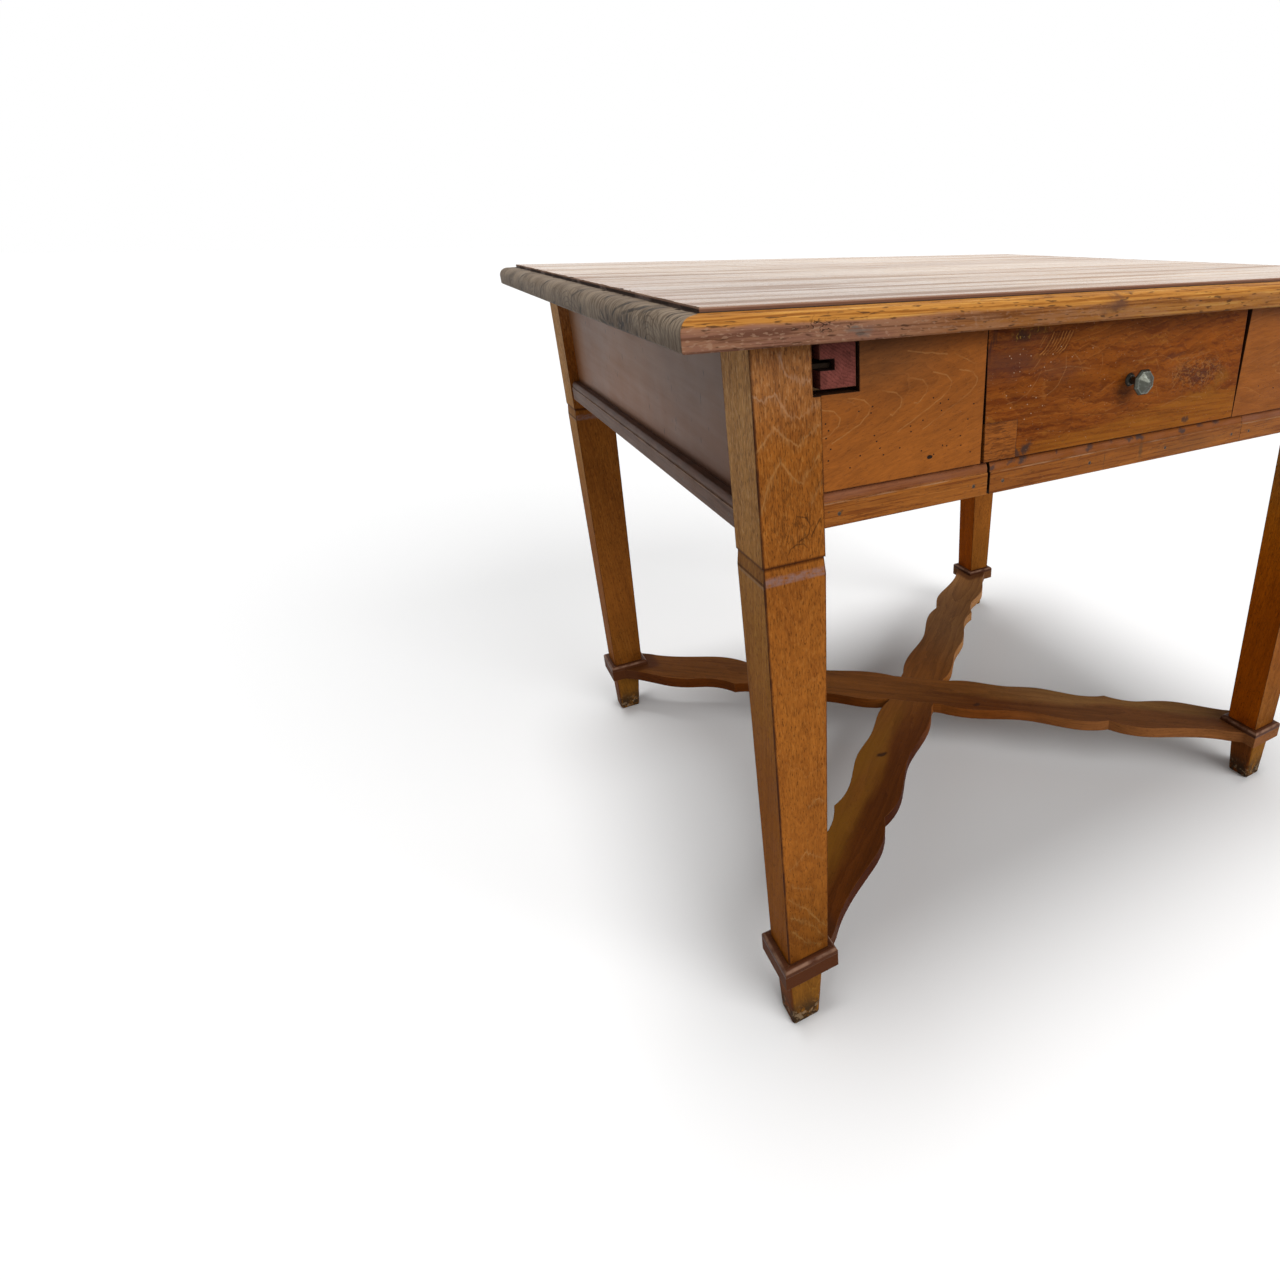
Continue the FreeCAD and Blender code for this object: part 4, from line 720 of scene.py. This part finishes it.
def drawer_grain(net):
    """Brown figure along the grain, purple on the left, golden on the right and along the bottom."""
    figure = net.patches((7, 7, 130), 0.46, 0.68, 3, 0.6, net.ragged(0.012, 30))
    net.tint(figure, (0.8, 0.73, 0.66))
    net.tint(net.step(net.x, -0.02, 0.15), (1.08, 1.03, 0.7))
    grooved = net.patches((8, 8, 300), 0.5, 0.62, place=net.ragged(0.003, 40))
    net.tint((grooved, net.step(net.x, -0.07, -0.15)), (0.72, 0.62, 0.6))
    wisps = net.noise(net.ragged(0.01, 45), (22, 22, 190), 4, 0.65)
    net.tint(net.step(wisps, 0.5, 0.62), (0.7, 0.62, 0.55))
    net.paint(net.step(wisps, 0.42, 0.32), (0.36, 0.13, 0.018), 0.4)
    purple = [(-178, 712, 70, 24, 0.9), (-120, 703, 55, 16, 0.6), (-165, 732, 55, 14, 0.6)]
    net.paint(net.marks(purple, 0.016, 30, 0.1), (0.08, 0.026, 0.017), 0.8)
    slope = net.linear(net.x, -0.085, net.z)
    uneven = net.swing(net.place, (6, 20, 150), 0.026, 3)
    band = net.times(net.step(net.add(slope, uneven), 0.65, 0.642), net.step(net.x, -0.185, -0.12))
    grainy = net.patches((10, 10, 420), 0.36, 0.62, 3, 0.6)
    net.paint((band, net.linear(grainy, 0.6, 0.4)), (0.36, 0.125, 0.012), 0.6)


def drawer_scar_and_knot(net):
    """Scar with black and gold crumbs, stripes at the corner, knot with golden wood, stains."""
    scar = net.marks([(-168, 735, 15, 9, 1), (-150, 738, 22, 5, 0.7)], 0.008, 60, 0.2)
    net.paint(scar, (0.04, 0.016, 0.008), 0.85)
    crumbs = net.patches((330, 330, 260), 0.56, 0.64)
    net.paint((crumbs, scar), (0.34, 0.19, 0.03), 0.85)
    stripes = net.patches((330, 1, 22), 0.5, 0.62, place=net.ragged(0.004, 40))
    corner = net.marks([(-198, 726, 11, 18, 1)], 0.004, 60, 0.4)
    net.paint((stripes, corner), (0.035, 0.013, 0.01), 0.75)
    # Golden wood right of the knot and below, then the knot itself and cracks round it
    golden = [(126, 672, 17, 15, 0.8), (96, 656, 40, 6, 0.7), (112, 661, 18, 8, 0.7)]
    net.paint(net.marks(golden, 0.012, 50, 0.2), (0.31, 0.115, 0.012), 0.65)
    knot = [(90, 676, 22, 12, 1), (68, 684, 24, 8, 0.8), (42, 699, 26, 3.5, 0.8), (108, 690, 14, 8, 0.5)]
    net.paint(net.marks(knot, 0.012, 55, 0.25), (0.085, 0.024, 0.011), 0.8)
    around = net.marks([(85, 680, 62, 26, 1)], 0.012, 40, 0.3)
    net.cracks(around, (60, 60, 130), 0.05, (0.36, 0.14, 0.035), 0.5)
    net.cracks(around, (75, 75, 150), 0.05, (0.075, 0.022, 0.01), 0.55)
    # Dark stains along the bottom, and the shade under the knob
    stains = [(-166, 627, 11, 4, 0.9), (-153, 631, 9, 7, 1), (77, 631, 7, 5, 0.9)]
    net.paint(net.marks(stains, 0.008, 110, 0.3), (0.035, 0.024, 0.022), 0.85)
    net.paint(net.marks([(-22, 672, 30, 20, 0.5)], 0.01, 40, 0.1), (0.1, 0.034, 0.01), 0.5)


def drawer_scratches(net):
    """Hatched scratches, thin arcs and pale specks."""
    lean = net.add(net.linear(net.z, -0.62, net.x), net.swing(net.place, (30, 1, 30), 0.006, 1))
    hatch_place = net.joined(lean, net.times(net.z, 0.08), 0)
    hatch = net.patches((330, 330, 1), 0.56, 0.63, 1, place=hatch_place)
    zones = [(-146, 727, 14, 9, 0.7), (52, 676, 14, 18, 0.7), (-62, 722, 16, 8, 0.25)]
    net.paint((hatch, net.marks(zones, 0.01, 50, 0.35)), (0.36, 0.14, 0.035), 0.7)
    gap = net.gap_to(HATCHING)
    net.tint(net.step(gap, 0.004, 0.001), (0.72, 0.68, 0.66))
    net.paint((net.step(gap, 0.0008, 0.0003), net.faded(0.3, 90)), (0.42, 0.165, 0.04), 0.7)
    net.paint((net.strokes(SCRATCHES, 0.0008), net.faded(0.25)), (0.38, 0.165, 0.055), 0.34)
    fleck = net.patches(560, 0.75, 0.78, 1)
    specks = net.most(net.marks(SPECKS, 0.0006, 300, 0.5), net.times(fleck, 0.55))
    net.paint(specks, (0.55, 0.36, 0.23), 0.8)


def drawer_front_material():
    swells = [(-176, 738, 75, 52, 0.04), (97, 680, 50, 34, 0.034)]
    net = Surface("drawer_wood").wood((1, -0.1, 0.05), (-0.02, -0.33, 0.69), 0.0045, 14.6, *RUSSET,
                                       lines=0.4, late=0.7, pores=0.5, swells=swells)
    drawer_grain(net)
    drawer_scar_and_knot(net)
    drawer_scratches(net)
    net.edge_wear((0.06, 0.02, 0.009), 0.7, 45)
    net.shade_joint_faces("X")
    return net.finish(roughness=0.5, specular=0.05)


dress("drawer_front", drawer_front_material())


def patch_material():
    net = Surface("patch_wood").wood((1, 0.04, 0.06), (-0.18, -0.35, 0.6), 0.0022, 30.5, *AMBER,
                                      lines=0.3, late=1, pores=0.8)
    net.tint(net.patches((60, 60, 420), 0.45, 0.65, place=net.ragged(0.002, 120)), (0.58, 0.53, 0.46))
    net.edge_wear((0.05, 0.018, 0.009), 0.9, 90)
    return net.finish(roughness=0.5, specular=0.08)


dress("drawer_patch", patch_material())


# Inside wood: bare, oxidised boards that never had a finish
def bare_wood(name, along, pith, seed, tone=RAW, ring=0.004, lines=0.35, grime=0.5, black=None):
    net = Surface(name).wood(along, pith, ring, seed, *tone, lines=lines, late=0.8, pores=0.5)
    dirt = net.patches(11, 0.42, 0.72, 4, 0.6)
    net.tint(net.times(dirt, grime), (0.5, 0.42, 0.36))
    net.edge_wear((0.16, 0.08, 0.035), 0.5, 45)
    # Painted shade: near-black where the black mask puts it
    if black is not None:
        net.paint(black(net), (0.008, 0.005, 0.004), 0.95)
    return net.finish(roughness=0.68, specular=0.06, bump=0.7)


ALONG_X = (1, 0.02, 0.03)
ALONG_Y = (0.02, 1, 0.03)
BARE = {
    "front_rail": (ALONG_X, (0, -0.31, 0.58), 31),
    "back_rail": (ALONG_X, (0, 0.31, 0.57), 32),
    "drawer_runner_left": (ALONG_Y, (-0.17, 0, 0.56), 33),
    "drawer_runner_right": (ALONG_Y, (0.12, 0, 0.56), 34),
    "drawer_guide_left": (ALONG_Y, (-0.22, 0, 0.6), 35),
    "drawer_guide_right": (ALONG_Y, (0.17, 0, 0.6), 36),
    "top_tongue_left": (ALONG_Y, (-0.36, 0, 0.69), 37),
    "top_tongue_right": (ALONG_Y, (0.36, 0, 0.69), 38),
    "drawer_side_left": (ALONG_Y, (-0.16, 0, 0.67), 39),
    "drawer_side_right": (ALONG_Y, (0.1, 0, 0.67), 40),
    "drawer_back": (ALONG_X, (0, 0.12, 0.66), 41),
    "drawer_bottom": (ALONG_X, (0, -0.1, 0.56), 42),
}


def slot_shade(net):
    """Painted shade: black inside a batten's slot."""
    in_height = net.band(net.z, -0.0008, -0.0002, SLOT_HEIGHT + 0.0002, SLOT_HEIGHT + 0.0008, SLOT_Z)
    return net.times(in_height, net.step(net.absolute(net.x), SLOT_X - 0.0003, SLOT_X + 0.0001))


def tongue_end_shade(net):
    """Painted shade: black on the end grain of a tongue, which shows in the notch."""
    return net.step(net.y, -0.345, -0.372)


for node, (along, pith, seed) in BARE.items():
    black = tongue_end_shade if node.startswith("top_tongue") else None
    dress(node, bare_wood("bare_" + node, along, pith, seed, black=black))
for node, side, seed in (("top_batten_left", -1, 44), ("top_batten_right", 1, 45)):
    pith = (side * BATTEN_X + 0.06, 0, 0.83)
    dress(node, bare_wood(node + "_wood", (0, 1, 0.01), pith, seed, CLARET, 0.0026, 0, 0.2, slot_shade))


# Top: boards with a raised field, dark step line, golden and worn thumb moulding
END_CRACKS = (
    ((-240, 746), (-240, 756), (-250, 762), (-272, 768)),
    ((-270, 760), (-316, 768)),
    ((-320, 765), (-335, 768)),
    ((-285, 748), (-286, 760)),
    ((-218, 746), (-190, 750)),
    ((-218, 746), (-200, 757)),
    ((-218, 746), (-219, 761)),
    ((95, 747), (80, 759), (62, 767)),
    ((132, 749), (115, 762)),
    ((-76, 747), (-83, 760), (-106, 768)),
)
END_HOLES = [(-271, 752, 3.5, 2.5, 1), (-264, 748, 3.5, 2.5, 1), (-238, 748, 3, 3, 1),
             (-283, 747, 3, 2, 1), (-331, 747, 2.5, 2, 1)]
END_SPLITS = [(-228, 750, 13, 8, 1), (-266, 751, 16, 9, 1), (-314, 749, 13, 8, 1), (-291, 757, 22, 6, 0.7)]


def top_long_edges(net, long_side, fine):
    """Golden above with fine dark lines, purple-brown and scratched below, with pale glints there as painted
    highlights.
    """
    net.paint(long_side, (0.44, 0.17, 0.02), 0.84)
    net.tint((long_side, net.step(fine, 0.5, 0.6)), (0.58, 0.48, 0.38))
    net.paint((long_side, net.step(fine, 0.46, 0.37)), (0.68, 0.37, 0.09), 0.65)
    waver = net.swing(net.place, (14, 14, 60), 0.008, 3)
    low = net.step(net.add(net.z, waver), RIM_Z - 0.0065, RIM_Z - 0.01)
    lower = net.times(low, long_side, net.linear(net.step(net.x, 0.1, -0.22), 0.6, 0.4))
    worn = net.patches((26, 90, 150), 0.44, 0.6, 4, 0.65)
    net.paint(lower, (0.25, 0.09, 0.026), 0.85)
    corner = net.step(net.x, -0.22, -0.36)
    net.paint((lower, corner), (0.25, 0.12, 0.085), 0.8)
    net.paint((lower, worn), (0.32, 0.155, 0.08), 0.5)
    net.tint((lower, net.step(fine, 0.49, 0.6)), (0.6, 0.54, 0.5))
    dashes = net.patches((75, 420, 420), 0.6, 0.68)
    net.paint((long_side, dashes), (0.05, 0.02, 0.01), 0.75)
    # Painted highlight: pale glints on the lower edge, most at the left corner
    glints = net.patches((210, 520, 520), 0.57, 0.66)
    at_corner = net.linear(corner, 0.5, 0.3)
    net.paint((lower, glints, at_corner), (0.4, 0.235, 0.15), 0.65)


def top_end_grain(net, end_side, seed):
    """Grey end grain with dark ring lines, and checks that run out from the pith."""
    net.paint(end_side, (0.235, 0.19, 0.142), 0.88)
    rings = net.band(net.phase, 0.66, 0.76, 0.92, 0.99)
    faint = net.patches((1, 25, 70), 0.35, 0.65)
    net.tint((end_side, net.times(rings, faint)), (0.6, 0.56, 0.53))
    hatched = net.patches((1, 420, 30), 0.46, 0.58, 3, 0.6, net.ragged(0.004, 40))
    net.tint((end_side, hatched), (0.5, 0.46, 0.42))
    grey_cloud = net.patches((8, 14, 60), 0.36, 0.64, 3)
    net.tint((end_side, grey_cloud), (0.72, 0.68, 0.64))
    across, deep = net.parts(net.bent)[1:3]
    turn = net.times(net.math("ARCTAN2", across, deep), 9)
    fan = net.joined(turn, net.times(net.z, 20), seed)
    check = net.absolute(net.add(net.noise(fan, 1, 3), -0.5))
    open_check = net.patches((20, 28, 60), 0.5, 0.62)
    check = net.times(net.step(check, 0.03, 0.01), open_check, end_side)
    net.paint(check, (0.012, 0.007, 0.005), 0.9)
    net.dent(check, 2)
    net.tint((end_side, net.step(net.z, RIM_Z - 0.009, RIM_Z - 0.022)), (0.7, 0.66, 0.62))


def top_step(net, inset, ends):
    """Step round the field: black and nicked at the ends, purple-brown over a thin black line elsewhere."""
    upright = net.step(net.absolute(net.facing_z), 0.7, 0.4)
    riser = net.times(upright, net.step(inset, FIELD_INSET - 0.002, FIELD_INSET - 0.0007))
    net.paint(riser, (0.15, 0.066, 0.046), 0.9)
    nick = net.swing(net.place, 45, 0.0055, 4, 0.7)
    at_step = net.absolute(net.add(inset, 0.0003 - FIELD_INSET, nick))
    black_step = net.times(net.step(at_step, 0.0026, 0.0013), ends)
    chips = net.times(net.patches(85, 0.58, 0.63), net.step(at_step, 0.0052, 0.0036))
    uneven = net.patches(24, 0.36, 0.56, 3, 0.6)
    black_step = net.times(black_step, net.linear(uneven, 0.4, 0.6))
    black_step = net.most(black_step, net.times(chips, ends))
    net.paint(black_step, (0.018, 0.011, 0.008), 0.95)
    crest = net.times(riser, net.step(net.z, RIM_Z + 0.002, RIM_Z + 0.0028))
    net.paint(crest, (0.42, 0.24, 0.17), 0.7)
    at_foot = net.step(inset, FIELD_INSET - 0.0017, FIELD_INSET - 0.0009)
    foot_line = net.times(at_foot, net.step(net.z, RIM_Z + 0.001, RIM_Z + 0.0002))
    net.paint(foot_line, (0.02, 0.01, 0.007), 0.93)
    return black_step


def top_field(net, inset):
    """Long darker streaks, browner towards the front, a few black nicks; gives back how dull it is."""
    field = net.step(inset, FIELD_INSET + 0.0007, FIELD_INSET + 0.0021)
    broad = net.patches((1.1, 10, 10), 0.38, 0.66, 3, 0.55)
    net.tint((field, broad), (0.74, 0.68, 0.64))
    streaks = net.patches((1.3, 30, 30), 0.5, 0.62, 5, 0.66)
    net.tint((field, streaks), (0.6, 0.52, 0.44))
    net.tint((field, net.step(net.x, -0.3, 0.1)), (1.12, 1.1, 1.06))
    to_left = net.times(net.step(net.x, -0.05, -0.35), net.step(net.y, 0.1, -0.3))
    net.tint((field, to_left), (0.74, 0.66, 0.6))
    beside = [net.absolute(net.add(net.y, -joint)) for joint in GLUE_JOINTS]
    seam = net.step(net.least(*beside), 0.0016, 0.0006)
    parted = net.patches((5, 1, 1), 0.4, 0.6, 3, 0.6)
    net.tint((field, seam, parted), (0.22, 0.17, 0.14))
    net.tint((field, net.step(inset, FIELD_INSET + 0.0285, FIELD_INSET + 0.0025)), (0.95, 0.84, 0.76))
    nicks = net.patches((60, 300, 300), 0.74, 0.77, 1)
    net.paint((field, nicks), (0.04, 0.02, 0.012), 0.9)
    return net.times(field, net.linear(streaks, 0.16, net.times(broad, 0.06)))


def top_material(name, pith, seed, front):
    net = Surface(name).wood((1, 0.012, 0.02), pith, 0.0045, seed, *TAN, lines=0.2, late=0.6, pores=0.35)
    reach_x = net.math("SUBTRACT", HALF_WIDTH, net.absolute(net.x))
    reach_y = net.math("SUBTRACT", HALF_DEPTH, net.absolute(net.y))
    inset = net.least(reach_x, reach_y)
    rim = net.step(inset, FIELD_INSET + 0.0007, FIELD_INSET - 0.0007)
    ends = net.math("LESS_THAN", reach_x, reach_y)
    long_side = net.times(rim, net.inverse(ends))
    end_side = net.times(rim, ends)
    fine = net.noise(net.place, (8, 300, 300), 5, 0.68)
    top_long_edges(net, long_side, fine)
    top_end_grain(net, end_side, seed)
    black_step = top_step(net, inset, ends)
    dull = top_field(net, inset)
    # Cracks at the near corner, and the open cracks and gouges of the left end
    if front:
        crazed = net.marks([(-384, 760, 17, 8, 1), (-360, 757, 12, 5, 0.8)], 0.008, 60, 0.35)
        net.cracks(net.times(crazed, long_side), (120, 120, 190), 0.04, (0.025, 0.011, 0.007))
        split = net.marks(END_SPLITS, 0.008, 60, 0.35, "yz")
        net.cracks(net.times(end_side, split), (40, 130, 70), 0.09)
    left_end = net.times(end_side, net.step(net.x, -0.1, -0.3))
    opened = net.times(net.strokes(END_CRACKS, 0.0018, "yz"), net.faded(0.55, 90))
    net.paint((opened, left_end), (0.014, 0.009, 0.007), 0.9)
    gouged = net.marks(END_HOLES, 0.003, 150, 0.5, "yz")
    net.paint((gouged, left_end), (0.01, 0.006, 0.005), 0.95)
    # Stains on the front edge
    if front:
        stains = net.marks([(-84, 759, 22, 11, 1), (-94, 756, 14, 9, 0.7)], 0.012, 50, 0.15)
        net.paint((stains, long_side), (0.105, 0.046, 0.028), 0.8)
        greyed = net.marks([(-352, 753, 19, 5, 1)], 0.008, 60, 0.3)
        net.paint((greyed, long_side, net.step(fine, 0.62, 0.42)), (0.15, 0.12, 0.1), 0.8)
    net.rough_by = net.most(net.linear(rim, 0.4, dull), net.times(black_step, 0.75))
    shine = net.linear(rim, -0.13, 0.19)
    return net.finish(roughness=0.14, sway=0.1, specular=shine, bump=0.3, sheen=(1, 0.92, 0.765))


TOP_PITHS = {1: (-0.335, 0.728), 2: (-0.06, 0.69), 3: (0.13, 0.7), 4: (0.3, 0.72)}
for number, (pith_y, pith_z) in TOP_PITHS.items():
    pith = (0, pith_y, pith_z)
    dress(f"top_board_{number}", top_material(f"top_wood_{number}", pith, 50 + number * 3.3, number == 1))


# Metal: pewter knob, dark rose and nut, iron nails and screws
def metal(name, base, worn, roughness, metallic=1):
    net = Surface(name)
    cloud = net.noise(net.place, 160, 4, 0.6)
    rub = net.most(net.times(net.step(net.bend(), 0.01, 0.2), 0.8), net.step(cloud, 0.52, 0.75))
    net.colour = net.mix(rub, rgb(*base), rgb(*worn))
    net.height = net.linear(net.patches(900, 0.62, 0.72), -0.6, cloud)
    rough = net.linear(cloud, 0.25, roughness - 0.12)
    return net.close(0.5, 0.0003, {"Metallic": metallic, "Roughness": rough})


dress("knob", metal("pewter", (0.078, 0.08, 0.066), (0.2, 0.21, 0.185), 0.36))
dress("knob_rose", metal("dark_pewter", (0.03, 0.027, 0.022), (0.1, 0.095, 0.08), 0.45))
dress("knob_nut", metal("nut_iron", (0.09, 0.075, 0.06), (0.2, 0.18, 0.16), 0.5))
IRON = metal("nail_iron", (0.045, 0.03, 0.022), (0.17, 0.11, 0.07), 0.55, 0.8)
for node in ("moulding_nails", "guide_nails", "drawer_nails", "batten_screws"):
    dress(node, IRON)


# Pale floor under a white surround
def white_to_eye(net):
    """Mask of rays that show the background: straight to the camera, or by way of gloss or glass."""
    path = net.put("ShaderNodeLightPath").outputs
    return net.most(path["Is Camera Ray"], path["Is Glossy Ray"], path["Is Transmission Ray"])


def make_floor():
    size = 40
    corners = [(-size, -size, 0), (size, -size, 0), (size, size, 0), (-size, size, 0)]
    mesh = bpy.data.meshes.new("floor")
    mesh.from_pydata(corners, [], [(0, 1, 2, 3)])
    floor = bpy.data.objects.new("floor", mesh)
    scene.collection.objects.link(floor)
    material = bpy.data.materials.new("floor_paint")
    material.use_nodes = True
    material.node_tree.nodes.clear()
    net = Net(material.node_tree)
    tone = net.mix(white_to_eye(net), rgb(0.45, 0.45, 0.45), rgb(0.97, 0.97, 0.97))
    shader = net.put("ShaderNodeBsdfDiffuse", {"Color": tone})
    net.put("ShaderNodeOutputMaterial", {"Surface": shader.outputs[0]})
    mesh.materials.append(material)


def make_world():
    world = bpy.data.worlds.new("studio")
    scene.world = world
    world.use_nodes = True
    world.node_tree.nodes.clear()
    net = Net(world.node_tree)
    soft = net.put("ShaderNodeBackground", {"Color": rgb(1, 1, 1), "Strength": 0.2})
    white = net.put("ShaderNodeBackground", {"Color": rgb(1, 1, 1), "Strength": 1})
    shown = net.put("ShaderNodeMixShader", {0: white_to_eye(net), 1: soft.outputs[0], 2: white.outputs[0]})
    net.put("ShaderNodeOutputWorld", {"Surface": shown.outputs[0]})


def sun(name, towards, level, spread):
    """Soft lamp; level is the brightness that a white surface facing it gets."""
    data = bpy.data.lights.new(name, "SUN")
    data.energy = level * math.pi
    data.angle = math.radians(spread)
    lamp = bpy.data.objects.new(name, data)
    lamp.rotation_euler = Vector(towards).to_track_quat("Z", "Y").to_euler()
    scene.collection.objects.link(lamp)


make_floor()
make_world()
sun("key", (0.3, -0.85, 0.48), 0.6, 40)
sun("top_light", (-0.05, 0.05, 1), 0.58, 24)
sun("left_fill", (-0.9, -0.35, 0.35), 0.08, 60)


# Camera at the photograph's place: an off-centre crop, so the lens is shifted
CAMERA_PLACE = (-0.64888, -0.91904, 0.8215)
CAMERA_YAW = math.radians(31.36)
CAMERA_PITCH = math.radians(-24.85)
PHOTO_PIXELS = 1280
FOCAL_PIXELS = 762.43
CENTRE_PIXEL_X = 873.09
CENTRE_PIXEL_Y = 580.85


def make_camera():
    level = math.cos(CAMERA_PITCH)
    forward = Vector((math.sin(CAMERA_YAW) * level, math.cos(CAMERA_YAW) * level, math.sin(CAMERA_PITCH)))
    right = Vector((math.cos(CAMERA_YAW), -math.sin(CAMERA_YAW), 0))
    up = right.cross(forward)
    data = bpy.data.cameras.new("camera")
    data.sensor_width = 36
    data.lens = FOCAL_PIXELS * data.sensor_width / PHOTO_PIXELS
    data.shift_x = 0.5 - CENTRE_PIXEL_X / PHOTO_PIXELS
    data.shift_y = CENTRE_PIXEL_Y / PHOTO_PIXELS - 0.5
    camera = bpy.data.objects.new("camera", data)
    turn = Matrix((right, up, -forward)).transposed()
    camera.matrix_world = Matrix.Translation(CAMERA_PLACE) @ turn.to_4x4()
    scene.collection.objects.link(camera)
    scene.camera = camera


make_camera()
scene.view_settings.view_transform = "Standard"
